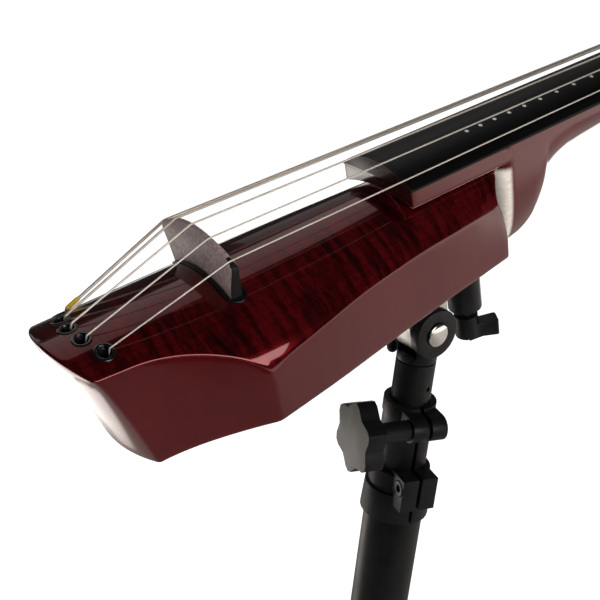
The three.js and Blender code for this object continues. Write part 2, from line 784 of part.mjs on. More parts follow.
function starOutline(radius, dip, lobes) {
  const shape = new THREE.Shape();
  const points = lobes * 6;
  for (let i = 0; i <= points; i += 1) {
    const a = (2 * Math.PI * i) / points;
    const r = radius - dip * (0.5 - 0.5 * Math.cos(lobes * a));
    const x = r * Math.cos(a);
    const y = r * Math.sin(a);
    if (i === 0) shape.moveTo(x, y);
    if (i > 0 && i < points) shape.lineTo(x, y);
  }
  shape.closePath();
  return shape;
}
const starOptions = { depth: 12, bevelEnabled: false };
const starHead = new THREE.ExtrudeGeometry(starOutline(23, 4.8, 6), starOptions).translate(0, 0, 37);
const starNeck = rod(6.4, 12, 38, 20);
const starBolt = rod(3, -14, 14, 16);
const starKnob = alongX(join(starHead, starNeck, starBolt)).rotateZ(Math.PI);
put(stand, "star_knob", starKnob.translate(0, EAR_Y, BOLT_Z).rotateZ(CLAMP_TURN), blackPlastic());

// Lower clamp at the head of the outer column.
const COLUMN_TOP = H - 113.5;
const COLUMN_BOTTOM = 236;
const columnTube = pipe(INNER_TUBE_R + 1.2, COLUMN_R, COLUMN_BOTTOM, COLUMN_TOP, 32);
put(stand, "outer_tube", columnTube, blackMetal());

const CLAMP_TOP = H - 92;
const CLAMP_BOTTOM = H - 128;
const SCREW_Z = H - 99.5;
const ringUpper = rod(SLEEVE_R + 3.4, COLUMN_TOP - 2, CLAMP_TOP - 3, 32);
const ringLower = rod(COLUMN_R + 3, CLAMP_BOTTOM, COLUMN_TOP + 5, 32, COLUMN_R + 2);
const clampEar = block(-12, 12, -27.5, -10, H - 114, CLAMP_TOP);
const clampBoreLow = rod(COLUMN_R + GAP, H - 200, COLUMN_TOP + GAP, 32);
const clampBoreHigh = rod(SLEEVE_R + GAP, H - 200, H, 32);
const clampSplit = block(-1.2, 1.2, -50, -5, H - 200, H);
const screwBore = alongX(rod(3.3, -30, 30, 16)).translate(0, EAR_Y, SCREW_Z);
const screwSeat = alongX(rod(5.4, 8, 30, 20)).rotateZ(Math.PI).translate(0, EAR_Y, SCREW_Z);
const clampBlank = join(ringUpper, ringLower, clampEar);
const lowerClamp = cut(clampBlank, clampBoreLow, clampBoreHigh, clampSplit, screwBore, screwSeat);
put(stand, "lower_clamp", lowerClamp.rotateZ(CLAMP_TURN), blackMetal());
const screwHead = rod(5, 8.4, 12.4, 20);
const screwShank = rod(3, -11, 9, 16);
const hexSocket = rod(2.6, 9.6, 14, 6);
const socketScrew = alongX(cut(join(screwHead, screwShank), hexSocket)).rotateZ(Math.PI);
put(stand, "socket_screw", socketScrew.translate(0, EAR_Y, SCREW_Z).rotateZ(CLAMP_TURN), blackMetal());

// ---- tripod ----
const legAngle = Math.atan2(LEG_FOOT_R - LEG_PIVOT_R, LEG_PIVOT_Z - 14);
const legLength = Math.hypot(LEG_FOOT_R - LEG_PIVOT_R, LEG_PIVOT_Z - 14);
let hub = rod(COLUMN_R + 7, LEG_PIVOT_Z - 16, LEG_PIVOT_Z + 22, 32);
for (let k = 0; k < 3; k += 1) {
  const turn = (k * 2 * Math.PI) / 3;
  const low = LEG_PIVOT_Z - 12;
  const high = LEG_PIVOT_Z + 12;
  const cheekA = block(10, LEG_PIVOT_R + 9, 8.6, 13, low, high).rotateZ(turn);
  const cheekB = block(10, LEG_PIVOT_R + 9, -13, -8.6, low, high).rotateZ(turn);
  const ledge = block(10, LEG_PIVOT_R + 9, -13, 13, high, high + 5).rotateZ(turn);
  hub = join(hub, cheekA, cheekB, ledge);
}
const pivotBores = [];
for (let k = 0; k < 3; k += 1) {
  const bore = alongY(rod(3.3, -20, 20, 14)).translate(LEG_PIVOT_R, 0, LEG_PIVOT_Z);
  pivotBores.push(bore.rotateZ((k * 2 * Math.PI) / 3));
}
put(stand, "leg_hub", cut(hub, rod(COLUMN_R + GAP, 0, 600, 32), ...pivotBores), blackMetal());

const FOOT_PROFILE = [
  [0, -legLength - 10],
  [7, -legLength - 9],
  [11, -legLength - 3],
  [11, -legLength + 3],
  [9.6, -legLength + 18],
  [8.4, -legLength + 18],
  [8.4, -legLength + 5.6],
  [0, -legLength + 5.6],
];
for (let k = 0; k < 3; k += 1) {
  const turn = (k * 2 * Math.PI) / 3;
  const tube = rod(8, -legLength + 6, -4, 16);
  const eye = alongY(rod(8.2, -8.2, 8.2, 24));
  const bore = alongY(rod(3.3, -20, 20, 16));
  const leg = cut(join(tube, eye), bore).rotateY(-legAngle).translate(LEG_PIVOT_R, 0, LEG_PIVOT_Z);
  put(stand, `leg_${k + 1}`, leg.rotateZ(turn), blackMetal());
  const pivot = alongY(rod(3, -14, 14, 16)).translate(LEG_PIVOT_R, 0, LEG_PIVOT_Z);
  put(stand, `leg_pin_${k + 1}`, pivot.rotateZ(turn), steel());
  const shoe = turned(FOOT_PROFILE, 16);
  const foot = shoe.rotateY(-legAngle).translate(LEG_PIVOT_R, 0, LEG_PIVOT_Z);
  put(stand, `foot_${k + 1}`, foot.rotateZ(turn), rubber());
}

// ---- assembly: tilt the instrument about the hinge, then centre the footprint ----
const tilt = (-NECK_RISE_DEG * Math.PI) / 180;
cello.rotation.y = tilt;
const tiltAxis = new THREE.Vector3(0, 1, 0);
const hinge = new THREE.Vector3(HINGE_X, 0, HINGE_Z).applyAxisAngle(tiltAxis, tilt);
cello.position.set(-hinge.x, 0, HINGE_HEIGHT - hinge.z);

const object = new THREE.Group();
object.add(cello);
object.add(stand);
object.updateMatrixWorld(true);
const bounds = new THREE.Box3().setFromObject(object, true);
const centre = bounds.getCenter(new THREE.Vector3());
object.position.set(-centre.x, -centre.y, -bounds.min.z);
object.updateMatrixWorld(true);

export default object;
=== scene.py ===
# Looks for the five-string electric cello on its tripod stand.
# Metres, in the CAD model's own frame. The instrument's shapes are drawn in the instrument's frame
# (millimetres, crest of the top under the bridge at the origin) and placed by the CAD's tilt.
import math

import bpy
import bmesh
import numpy as np
from mathutils import Matrix, Vector


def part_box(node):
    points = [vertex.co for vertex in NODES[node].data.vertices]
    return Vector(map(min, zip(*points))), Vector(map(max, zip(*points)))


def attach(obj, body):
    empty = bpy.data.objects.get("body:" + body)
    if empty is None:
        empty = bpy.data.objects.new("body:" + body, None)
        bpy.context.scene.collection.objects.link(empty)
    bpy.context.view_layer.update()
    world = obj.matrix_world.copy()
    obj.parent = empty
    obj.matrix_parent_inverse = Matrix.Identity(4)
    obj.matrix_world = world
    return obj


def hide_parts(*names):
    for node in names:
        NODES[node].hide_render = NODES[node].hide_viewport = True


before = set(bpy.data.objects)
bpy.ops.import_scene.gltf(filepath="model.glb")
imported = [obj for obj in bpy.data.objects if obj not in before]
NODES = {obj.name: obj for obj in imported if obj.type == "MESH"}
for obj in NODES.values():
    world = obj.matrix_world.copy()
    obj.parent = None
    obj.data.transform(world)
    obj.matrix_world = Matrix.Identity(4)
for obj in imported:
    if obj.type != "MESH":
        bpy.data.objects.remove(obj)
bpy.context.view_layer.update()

# ---------------------------------------------------------------- placing
TILT = math.radians(-18.0)
HINGE = Vector((130.5, 0.0, -105.6))
HINGE_HEIGHT = 640.0
_low, _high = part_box("outer_tube")
POLE_X = (_low.x + _high.x) / 2 * 1000
POLE_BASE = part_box("inner_tube")[1].z * 1000 - (HINGE_HEIGHT - 22)
TURN = Matrix.Rotation(TILT, 4, "Y")
SHIFT = Vector((POLE_X, 0, HINGE_HEIGHT + POLE_BASE)) - (TURN @ HINGE)
PLACE = Matrix.Scale(0.001, 4) @ Matrix.Translation(SHIFT) @ TURN

# ---------------------------------------------------------------- mesh helpers
def new_object(name, verts, faces, matrix=None):
    mesh = bpy.data.meshes.new(name)
    mesh.from_pydata([tuple(v) for v in verts], [], faces)
    mesh.validate()
    bm = bmesh.new()
    bm.from_mesh(mesh)
    bmesh.ops.remove_doubles(bm, verts=bm.verts, dist=1e-4)
    bmesh.ops.recalc_face_normals(bm, faces=bm.faces)
    bm.to_mesh(mesh)
    bm.free()
    if matrix is not None:
        mesh.transform(matrix)
    for p in mesh.polygons:
        p.use_smooth = True
    obj = bpy.data.objects.new(name, mesh)
    bpy.context.scene.collection.objects.link(obj)
    return obj


def apply_modifiers(obj):
    dg = bpy.context.evaluated_depsgraph_get()
    mesh = bpy.data.meshes.new_from_object(obj.evaluated_get(dg), depsgraph=dg)
    obj.modifiers.clear()
    obj.data = mesh
    return obj


def bevel(obj, width_mm, segments, angle):
    m = obj.modifiers.new("Bevel", "BEVEL")
    m.width = width_mm / 1000
    m.segments = segments
    m.limit_method = "ANGLE"
    m.angle_limit = math.radians(angle)
    m.use_clamp_overlap = True


def finish_piece(obj, body, slot, material, *replaced, sharp=35):
    """Applies modifiers, sets smooth shading and the material, parents the piece to its body's empty and
    hides the nodes it replaces.
    """
    apply_modifiers(obj)
    for p in obj.data.polygons:
        p.use_smooth = True
    obj.data.set_sharp_from_angle(angle=math.radians(sharp))
    if material is not None:
        obj.data.materials.clear()
        obj.data.materials.append(material)
    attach(obj, body)
    if replaced:
        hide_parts(*replaced)
    return obj


def skin(count, n):
    """Quads between neighbouring rings, for count closed rings of n vertices each."""
    faces = []
    for k in range(count - 1):
        for j in range(n):
            a, b = k * n + j, k * n + (j + 1) % n
            faces.append((a, b, b + n, a + n))
    return faces


def loft_mesh(rings):
    """Vertices and faces of a tube of rings, closed by one polygon at each end."""
    n = len(rings[0])
    verts = [p for ring in rings for p in ring]
    faces = skin(len(rings), n)
    faces.append(tuple(range(n))[::-1])
    faces.append(tuple(range((len(rings) - 1) * n, len(rings) * n)))
    return verts, faces


def fine_copy(node):
    """The CAD node's mesh with doubled vertices merged and flat facets joined, for rounding."""
    src = NODES[node]
    mesh = src.data.copy()
    obj = bpy.data.objects.new(node + "_fine", mesh)
    bpy.context.scene.collection.objects.link(obj)
    bm = bmesh.new()
    bm.from_mesh(mesh)
    bmesh.ops.remove_doubles(bm, verts=bm.verts, dist=2e-6)
    bmesh.ops.dissolve_limit(bm, angle_limit=math.radians(0.8), verts=bm.verts, edges=bm.edges)
    bm.to_mesh(mesh)
    bm.free()
    return obj


# ---------------------------------------------------------------- node material helpers
def new_material(name):
    mat = bpy.data.materials.new(name)
    mat.use_nodes = True
    tree = mat.node_tree
    bsdf = tree.nodes["Principled BSDF"]
    return mat, tree, bsdf


def node(tree, kind, **props):
    n = tree.nodes.new(kind)
    for k, v in props.items():
        setattr(n, k, v)
    return n


def link(tree, a, b):
    tree.links.new(a, b)


def ramp(tree, source, stops):
    r = node(tree, "ShaderNodeValToRGB")
    while len(r.color_ramp.elements) > len(stops):
        r.color_ramp.elements.remove(r.color_ramp.elements[-1])
    while len(r.color_ramp.elements) < len(stops):
        r.color_ramp.elements.new(0.5)
    for e, (pos, col) in zip(r.color_ramp.elements, stops):
        e.position = pos
        e.color = (*col, 1) if len(col) == 3 else col
    link(tree, source, r.inputs[0])
    return r


def object_coords(tree):
    return node(tree, "ShaderNodeTexCoord").outputs["Object"]


def noise(tree, vector, scale, detail=4, rough=0.5, distortion=0.0):
    n = node(tree, "ShaderNodeTexNoise")
    n.inputs["Scale"].default_value = scale
    n.inputs["Detail"].default_value = detail
    n.inputs["Roughness"].default_value = rough
    n.inputs["Distortion"].default_value = distortion
    link(tree, vector, n.inputs["Vector"])
    return n.outputs["Fac"]


def bump(tree, bsdf, height, strength, distance):
    b = node(tree, "ShaderNodeBump")
    b.inputs["Strength"].default_value = strength
    b.inputs["Distance"].default_value = distance
    link(tree, height, b.inputs["Height"])
    link(tree, b.outputs["Normal"], bsdf.inputs["Normal"])


def instrument_vector(tree):
    """Object coordinates turned into the instrument's frame, so that grain follows the neck."""
    tc = node(tree, "ShaderNodeTexCoord")
    mp = node(tree, "ShaderNodeMapping")
    mp.vector_type = "POINT"
    mp.inputs["Location"].default_value = -(TURN.inverted().to_3x3() @ SHIFT) / 1000
    mp.inputs["Rotation"].default_value = (0, -TILT, 0)
    link(tree, tc.outputs["Object"], mp.inputs["Vector"])
    return mp.outputs["Vector"]


def scaled(tree, vector, scale):
    mp = node(tree, "ShaderNodeMapping")
    mp.inputs["Scale"].default_value = scale
    link(tree, vector, mp.inputs["Vector"])
    return mp.outputs["Vector"]


def mix_fac(tree, a, b, fac, mode="MIX"):
    m = node(tree, "ShaderNodeMix", data_type="RGBA", blend_type=mode)
    for sock, val in ((m.inputs[0], fac), (m.inputs[6], a), (m.inputs[7], b)):
        if isinstance(val, bpy.types.NodeSocket):
            link(tree, val, sock)
        elif isinstance(val, tuple):
            sock.default_value = (*val, 1)
        else:
            sock.default_value = val
    return m.outputs[2]


# ---------------------------------------------------------------- materials
def flamed_lacquer():
    mat, t, b = new_material("flamed_red_lacquer")
    v = instrument_vector(t)
    # Flame: bands across the body, bent and broken by a slow warp.
    warp = noise(t, scaled(t, v, (1, 1, 1)), 14, 2, 0.5)
    add = node(t, "ShaderNodeVectorMath", operation="MULTIPLY_ADD")
    comb = node(t, "ShaderNodeCombineXYZ")
    link(t, warp, comb.inputs["X"])
    link(t, comb.outputs[0], add.inputs[0])
    add.inputs[1].default_value = (0.02, 0, 0)
    link(t, v, add.inputs[2])
    flame = noise(t, scaled(t, add.outputs[0], (250, 30, 30)), 1.0, 2, 0.5, 0.2)
    fine = noise(t, scaled(t, add.outputs[0], (520, 170, 170)), 1.0, 2, 0.5, 0.2)
    broad = noise(t, scaled(t, v, (9, 16, 16)), 1.0, 2, 0.5)
    mixed = node(t, "ShaderNodeMath", operation="MULTIPLY_ADD")
    link(t, fine, mixed.inputs[0])
    mixed.inputs[1].default_value = 0.5
    link(t, flame, mixed.inputs[2])
    lifted = node(t, "ShaderNodeMath", operation="MULTIPLY_ADD")
    link(t, broad, lifted.inputs[0])
    lifted.inputs[1].default_value = 0.28
    link(t, mixed.outputs[0], lifted.inputs[2])
    col = ramp(
        t,
        lifted.outputs[0],
        [
            (0.66, (0.008, 0.0006, 0.0010)),
            (0.80, (0.022, 0.0008, 0.0014)),
            (0.92, (0.042, 0.0011, 0.0022)),
            (1.0, (0.064, 0.0018, 0.0034)),
        ],
    )
    streak = noise(t, scaled(t, v, (12, 520, 520)), 1.0, 4, 0.6)
    grain = ramp(t, streak, [(0.35, (0.62, 0.62, 0.62)), (0.62, (1, 1, 1))])
    link(t, mix_fac(t, col.outputs[0], grain.outputs[0], 0.75, "MULTIPLY"), b.inputs["Base Color"])
    # The stained wood under the lacquer shines red.
    b.inputs["Roughness"].default_value = 0.16
    b.inputs["IOR"].default_value = 1.55
    b.inputs["Specular IOR Level"].default_value = 0.65
    b.inputs["Specular Tint"].default_value = (1.0, 0.03, 0.04, 1)
    b.inputs["Coat Weight"].default_value = 1.0
    b.inputs["Coat Roughness"].default_value = 0.02
    b.inputs["Coat IOR"].default_value = 1.37
    ripple = noise(t, scaled(t, v, (26, 26, 26)), 1.0, 2, 0.4)
    bump(t, b, ripple, 0.05, 0.0004)
    return mat


def body_lacquer(name, painted_heel_reflection=False):
    mat, t, b = new_material(name)
    v = instrument_vector(t)
    band = noise(t, scaled(t, v, (70, 8, 16)), 1.0, 3, 0.5, 0.3)
    pores = noise(t, scaled(t, v, (16, 420, 420)), 1.0, 4, 0.6)
    cloud = noise(t, scaled(t, v, (8, 8, 8)), 1.0, 2, 0.5)
    col = ramp(t, band, [(0.3, (0.052, 0.0012, 0.0022)), (0.7, (0.066, 0.0022, 0.0036))])
    grain = ramp(t, pores, [(0.35, (0.88, 0.88, 0.88)), (0.62, (1, 1, 1))])
    tone = ramp(t, cloud, [(0.3, (0.92, 0.92, 0.92)), (0.7, (1.05, 1.05, 1.05))])
    c = mix_fac(t, col.outputs[0], grain.outputs[0], 0.8, "MULTIPLY")
    c = mix_fac(t, c, tone.outputs[0], 0.8, "MULTIPLY")
    if painted_heel_reflection:
        # Painted reflection: the heel's front face gets a pale cream colour that fades in round its
        # corner, standing in for a bright reflection there.
        axes = node(t, "ShaderNodeSeparateXYZ")
        link(t, v, axes.inputs[0])
        masks = []
        for axis, start, stop in (("X", 0.1865, 0.1835), ("Z", -0.0125, -0.0165)):
            m = node(t, "ShaderNodeMapRange", interpolation_type="SMOOTHSTEP")
            m.inputs["From Min"].default_value = start
            m.inputs["From Max"].default_value = stop
            link(t, axes.outputs[axis], m.inputs["Value"])
            masks.append(m.outputs["Result"])
        both = node(t, "ShaderNodeMath", operation="MULTIPLY")
        link(t, masks[0], both.inputs[0])
        link(t, masks[1], both.inputs[1])
        reflection_paint = ramp(t, pores, [(0.35, (0.78, 0.70, 0.60)), (0.62, (0.90, 0.85, 0.77))])
        c = mix_fac(t, c, reflection_paint.outputs[0], both.outputs[0])
    link(t, c, b.inputs["Base Color"])
    b.inputs["Roughness"].default_value = 0.3
    b.inputs["Specular IOR Level"].default_value = 0.35
    b.inputs["Specular Tint"].default_value = (1.0, 0.12, 0.13, 1)
    b.inputs["Coat Weight"].default_value = 1.0
    b.inputs["Coat Roughness"].default_value = 0.03
    b.inputs["Coat IOR"].default_value = 1.42
    ripple = noise(t, scaled(t, v, (22, 22, 22)), 1.0, 2, 0.4)
    bump(t, b, ripple, 0.05, 0.0004)
    return mat


def ebony(name, base, rough, coat, ior=1.5, specular=0.3):
    mat, t, b = new_material(name)
    v = instrument_vector(t)
    pores = noise(t, scaled(t, v, (14, 900, 900)), 1.0, 5, 0.65)
    wear = noise(t, scaled(t, v, (6, 30, 30)), 1.0, 3, 0.5)
    dark, light = tuple(c * 0.55 for c in base), tuple(c * 1.5 for c in base)
    col = ramp(t, pores, [(0.36, dark), (0.6, base), (0.8, light)])
    link(t, col.outputs[0], b.inputs["Base Color"])
    rr = ramp(t, wear, [(0.3, (rough * 0.8,) * 3), (0.7, (rough * 1.2,) * 3)])
    link(t, rr.outputs[0], b.inputs["Roughness"])
    b.inputs["Coat Weight"].default_value = coat
    b.inputs["Coat Roughness"].default_value = 0.12
    b.inputs["Coat IOR"].default_value = ior
    b.inputs["Specular IOR Level"].default_value = specular
    bump(t, b, pores, 0.12, 0.0001)
    return mat


def bridge_wood():
    mat, t, b = new_material("bridge_dark_wood")
    v = instrument_vector(t)
    pores = noise(t, scaled(t, v, (900, 1100, 520)), 1.0, 3, 0.7)
    fleck = noise(t, scaled(t, v, (300, 1500, 420)), 1.0, 3, 0.6)
    cloud = noise(t, scaled(t, v, (30, 60, 60)), 1.0, 2, 0.5)
    dark, middle, light = (0.22, 0.160, 0.150), (0.37, 0.275, 0.262), (0.52, 0.400, 0.380)
    col = ramp(t, pores, [(0.36, dark), (0.52, middle), (0.68, light)])
    f = ramp(t, fleck, [(0.55, (1, 1, 1)), (0.75, (0.55, 0.55, 0.55))])
    tone = ramp(t, cloud, [(0.3, (0.85, 0.85, 0.85)), (0.7, (1.12, 1.1, 1.12))])
    c = mix_fac(t, col.outputs[0], f.outputs[0], 0.6, "MULTIPLY")
    link(t, mix_fac(t, c, tone.outputs[0], 1.0, "MULTIPLY"), b.inputs["Base Color"])
    b.inputs["Roughness"].default_value = 0.5
    bump(t, b, pores, 0.3, 0.00012)
    return mat


def plastic(name, base, rough, grain=900, strength=0.12, coat=0.0, specular=0.22):
    mat, t, b = new_material(name)
    v = object_coords(t)
    g = noise(t, v, grain, 3, 0.6)
    dust = noise(t, v, 60, 4, 0.6)
    col = ramp(t, dust, [(0.35, base), (0.75, tuple(c * 1.45 + 0.001 for c in base))])
    link(t, col.outputs[0], b.inputs["Base Color"])
    rr = ramp(t, dust, [(0.3, (rough * 0.85,) * 3), (0.7, (min(1, rough * 1.2),) * 3)])
    link(t, rr.outputs[0], b.inputs["Roughness"])
    b.inputs["Specular IOR Level"].default_value = specular
    b.inputs["Coat Weight"].default_value = coat
    b.inputs["Coat Roughness"].default_value = 0.2
    bump(t, b, g, strength, 0.00008)
    return mat


def metal(name, base, rough, scratch, stretch=(60, 60, 60)):
    mat, t, b = new_material(name)
    v = object_coords(t)
    s = noise(t, scaled(t, v, stretch), 12, 4, 0.65)
    m = noise(t, v, 35, 3, 0.5)
    col = ramp(t, m, [(0.3, tuple(c * 0.9 for c in base)), (0.7, base)])
    link(t, col.outputs[0], b.inputs["Base Color"])
    b.inputs["Metallic"].default_value = 1.0
    rr = ramp(t, s, [(0.3, (rough * 0.75,) * 3), (0.7, (rough * 1.3,) * 3)])
    link(t, rr.outputs[0], b.inputs["Roughness"])
    bump(t, b, s, scratch, 0.00004)
    return mat


def string_metal(name, base, pitch_mm, depth):
    """Round-wound steel: fine turns across the string's length."""
    mat, t, b = new_material(name)
    v = instrument_vector(t)
    w = node(t, "ShaderNodeTexWave", wave_type="BANDS", bands_direction="X")
    # One band is a twentieth of the texture's unit.
    w.inputs["Scale"].default_value = 1000 / pitch_mm / 20
    w.inputs["Distortion"].default_value = 0.0
    link(t, v, w.inputs["Vector"])
    tone = noise(t, scaled(t, v, (30, 30, 30)), 1.0, 3, 0.5)
    col = ramp(t, tone, [(0.3, tuple(c * 0.8 for c in base)), (0.7, base)])
    link(t, col.outputs[0], b.inputs["Base Color"])
    b.inputs["Metallic"].default_value = 0.55
    b.inputs["Roughness"].default_value = 0.34
    bump(t, b, w.outputs["Fac"], depth, 0.0001)
    return mat


def silk(name, base):
    mat, t, b = new_material(name)
    v = instrument_vector(t)
    w = node(t, "ShaderNodeTexWave", wave_type="BANDS", bands_direction="X")
    w.inputs["Scale"].default_value = 125
    w.inputs["Distortion"].default_value = 0.6
    w.inputs["Detail Scale"].default_value = 30
    link(t, v, w.inputs["Vector"])
    col = ramp(t, w.outputs["Fac"], [(0.2, tuple(c * 0.85 for c in base)), (0.7, base)])
    link(t, col.outputs[0], b.inputs["Base Color"])
    b.inputs["Roughness"].default_value = 0.75
    b.inputs["Sheen Weight"].default_value = 0.3
    bump(t, b, w.outputs["Fac"], 0.1, 0.00005)
    return mat


def pearl():
    mat, t, b = new_material("position_dot_pearl")
    v = object_coords(t)
    n = noise(t, v, 900, 3, 0.6, 1.0)
    col = ramp(t, n, [(0.3, (0.62, 0.62, 0.58)), (0.7, (0.9, 0.9, 0.86))])
    link(t, col.outputs[0], b.inputs["Base Color"])
    b.inputs["Roughness"].default_value = 0.2
    b.inputs["Coat Weight"].default_value = 0.6
    return mat


FLAME = flamed_lacquer()
RED = body_lacquer("deep_red_lacquer")
# The neck's lacquer carries a painted reflection on the heel's front face.
NECK_RED = body_lacquer("deep_red_lacquer_neck", True)
EBONY = ebony("ebony_satin", (0.0022, 0.0021, 0.0021), 0.36, 0.0, 1.5, 0.2)
BOARD_END = ebony("ebony_sealed_end", (0.020, 0.0048, 0.0052), 0.5, 1.0, 1.55, 0.1)
BLADE_END = ebony("lacquered_end", (0.034, 0.0055, 0.0065), 0.5, 1.0, 1.55, 0.1)
# Painted highlight: a pale pink colour for the blade's lower rounded edges, standing in for the light
# they catch.
PAINTED_EDGE_HIGHLIGHT = ebony("painted_edge_highlight", (0.95, 0.74, 0.72), 0.4, 1.0, 1.5, 0.3)
BRIDGE = bridge_wood()
# Painted shade: the bridge's side faces get a near-black colour, standing in for their shadow.
BRIDGE_SIDE_SHADE = ebony("bridge_side_painted_shade", (0.010, 0.008, 0.008), 0.5, 0.0)
BLACK_GLOSS = plastic("black_moulded_gloss", (0.0035, 0.0035, 0.0038), 0.25, 700, 0.05, 0.25)
RIM_GLOSS = plastic("black_rim_gloss", (0.004, 0.004, 0.0045), 0.12, 700, 0.03, 1.0, 0.5)
BLACK_MATTE = plastic("black_moulded_matte", (0.0048, 0.0048, 0.0050), 0.42, 1400, 0.2)
BLACK_COAT = plastic("black_coated_steel", (0.0045, 0.0045, 0.0048), 0.34, 1800, 0.12, 0.05)
# Painted light: a grey colour for the star knob's broad face, standing in for light falling on it.
LIT_FACE_PAINT = plastic("knob_face_painted_light", (0.085, 0.080, 0.070), 0.42, 1600, 0.2)
CHROME = metal("polished_chrome", (0.86, 0.83, 0.78), 0.10, 0.04)
CAST = metal("satin_cast_metal", (0.60, 0.58, 0.54), 0.34, 0.2, (20, 20, 20))
KNOB = metal("black_anodised", (0.035, 0.035, 0.037), 0.32, 0.1)
RUBBER = plastic("foot_rubber", (0.006, 0.006, 0.006), 0.75, 500, 0.35)
STRING = [
    string_metal("string_flat_wound", (0.95, 0.85, 0.75), 0.25, 0.04),
    string_metal("string_wound", (0.82, 0.72, 0.62), 0.4, 0.08),
]
SILK_YELLOW = silk("silk_yellow", (1.0, 0.62, 0.06))
PEARL = pearl()

# ---------------------------------------------------------------- shared places
DIAMETER = [0.8, 0.9, 1.1, 1.4, 1.7]
NUT_X = 690
NUT_PITCH = 8.5
HEAD_X, HEAD_Z, HEAD_SLOPE = 696, -22, 0.12
HEAD = Matrix.Translation((HEAD_X, 0, HEAD_Z)) @ Matrix.Rotation(math.atan(HEAD_SLOPE), 4, "Y")
# Each tuner: distance along the head, side, and the string it holds.
TUNERS = [(34, -1, 0), (80, -1, 1), (122, 1, 2), (80, 1, 3), (34, 1, 4)]

# ---------------------------------------------------------------- instrument surfaces
CREST = -0.032
BACK = -68.0
TOP_R = 56.0
TAIL_X = -79.5
TAIL_R = 75.0
TAIL_ROUND = 1.5
BODY_END = 178.0
END_ROUND = 2.0
END_SET_BACK = 5.7
RED_WALL = 0.9
BORE_Z = -53
# Half width along x, on the tail's side and on the neck's side of the side corners.
WAIST = [
    (-110, 33.5), (-80, 33.5), (-69, 34), (-55, 35), (-42, 37.6),
    (-30, 41.3), (-18, 45.8), (-10, 49.2), (-4, 52), (4, 56),
]
FLANK = [(-30, 55.6), (4, 52), (38, 48.2), (66, 44.2), (96, 40), (128, 36), (178, 30), (200, 27.4)]
# Radius of the carved top along x: it gets rounder towards the neck.
ARCH = [
    (-110, TOP_R), (10, TOP_R), (24, 55.4), (45, 54.1), (67, 51), (90, 46.3),
    (113, 41.8), (137, 37.0), (170, 31.6), (178, 31), (200, 29),
]


def along(pairs, x):
    return float(np.interp(x, [p[0] for p in pairs], [p[1] for p in pairs]))


def eased(pairs, x):
    """Smooth curve through a list of (x, value) pairs."""
    n = len(pairs)
    k = 0
    while k < n - 2 and x > pairs[k + 1][0]:
        k += 1

    def slope(i):
        lo, hi = pairs[max(0, i - 1)], pairs[min(n - 1, i + 1)]
        return (hi[1] - lo[1]) / (hi[0] - lo[0])

    (x0, v0), (x1, v1) = pairs[k], pairs[k + 1]
    h = x1 - x0
    t = min(1.0, max(0.0, (x - x0) / h))
    m0, m1 = slope(k) * h, slope(k + 1) * h
    return (
        (2 * t**3 - 3 * t**2 + 1) * v0
        + (t**3 - 2 * t**2 + t) * m0
        + (3 * t**2 - 2 * t**3) * v1
        + (t**3 - t**2) * m1
    )


def half_width(x):
    """Half width of the body: the concave waist and the long flank meet in a softly rounded corner."""
    if x < -12:
        return eased(WAIST, x)
    if x > 9:
        return eased(FLANK, x)
    a, b = eased(WAIST, x), eased(FLANK, x)
    k = 0.5
    low = min(a, b)
    return low - k * math.log(math.exp(-(a - low) / k) + math.exp(-(b - low) / k))


def arch_radius(x):
    return eased(ARCH, x)


def arch_z(x, y):
    r = arch_radius(x)
    return CREST * x - (r - math.sqrt(max(0.0, r * r - y * y)))


def tail_x(y, z):
    s = -z - 9
    lean = 16.7 * (s / 57) ** 0.75 if s > 0 else -10 * (-s / 57) ** 0.75
    sag = TAIL_R - math.sqrt(TAIL_R * TAIL_R - y * y)
    return TAIL_X + lean + sag - 7.9


# How much of END_SET_BACK is given back, along z.
END_LEAN = [
    (-68, 5.4), (-64, 5.5), (-54.5, 5.6), (-48, 4.8), (-39.6, 3.0), (-33, 0.7),
    (-27.4, -1.0), (-22.8, 0.3), (-19.5, 2.3), (-16, 5.2), (-12, 5.6), (20, 5.6),
]


def end_x(z):
    """The neck end of the body is hollow: its middle stands up to 6.7 mm back from the heel."""
    return BODY_END - END_SET_BACK + eased(END_LEAN, z)


def bezier(p0, p1, p2, steps):
    """Points of a quadratic curve, both ends included."""
    out = []
    for i in range(steps + 1):
        t = i / steps
        out.append(
            tuple((1 - t) ** 2 * a + 2 * t * (1 - t) * b + t * t * c for a, b, c in zip(p0, p1, p2))
        )
    return out


TOP_STEPS, EDGE_STEPS, WALL_STEPS, FLOOR_STEPS = 44, 6, 16, 16


def body_section(x, inset):
    """Half of a cross-section: from the crest round the edge, down the wall and to the back's middle."""
    w = half_width(x) - inset
    low = BACK + inset
    edge = 1.5 + 2.6 * math.exp(-((x / 7.0) ** 2))
    edge = max(0.12, edge - inset)
    foot = max(0.12, 1.8 - inset)
    reach = math.hypot(1, w / max(1.0, math.sqrt(max(1.0, arch_radius(x) ** 2 - w * w))))
    y0 = w - edge / reach
    half = TOP_STEPS // 2
    pts = [(y0 * i / half, arch_z(x, y0 * i / half) - inset) for i in range(half)]
    rim = arch_z(x, w) - inset
    pts += bezier((y0, arch_z(x, y0) - inset), (w, rim), (w, rim - edge), EDGE_STEPS)
    z0, z1 = pts[-1][1], low + foot
    pts += [(w, z0 + (z1 - z0) * i / WALL_STEPS) for i in range(1, WALL_STEPS)]
    pts += bezier((w, z1), (w, low), (w - foot, low), 4)
    pts += [((w - foot) * (1 - i / (FLOOR_STEPS // 2)), low) for i in range(1, FLOOR_STEPS // 2 + 1)]
    return pts


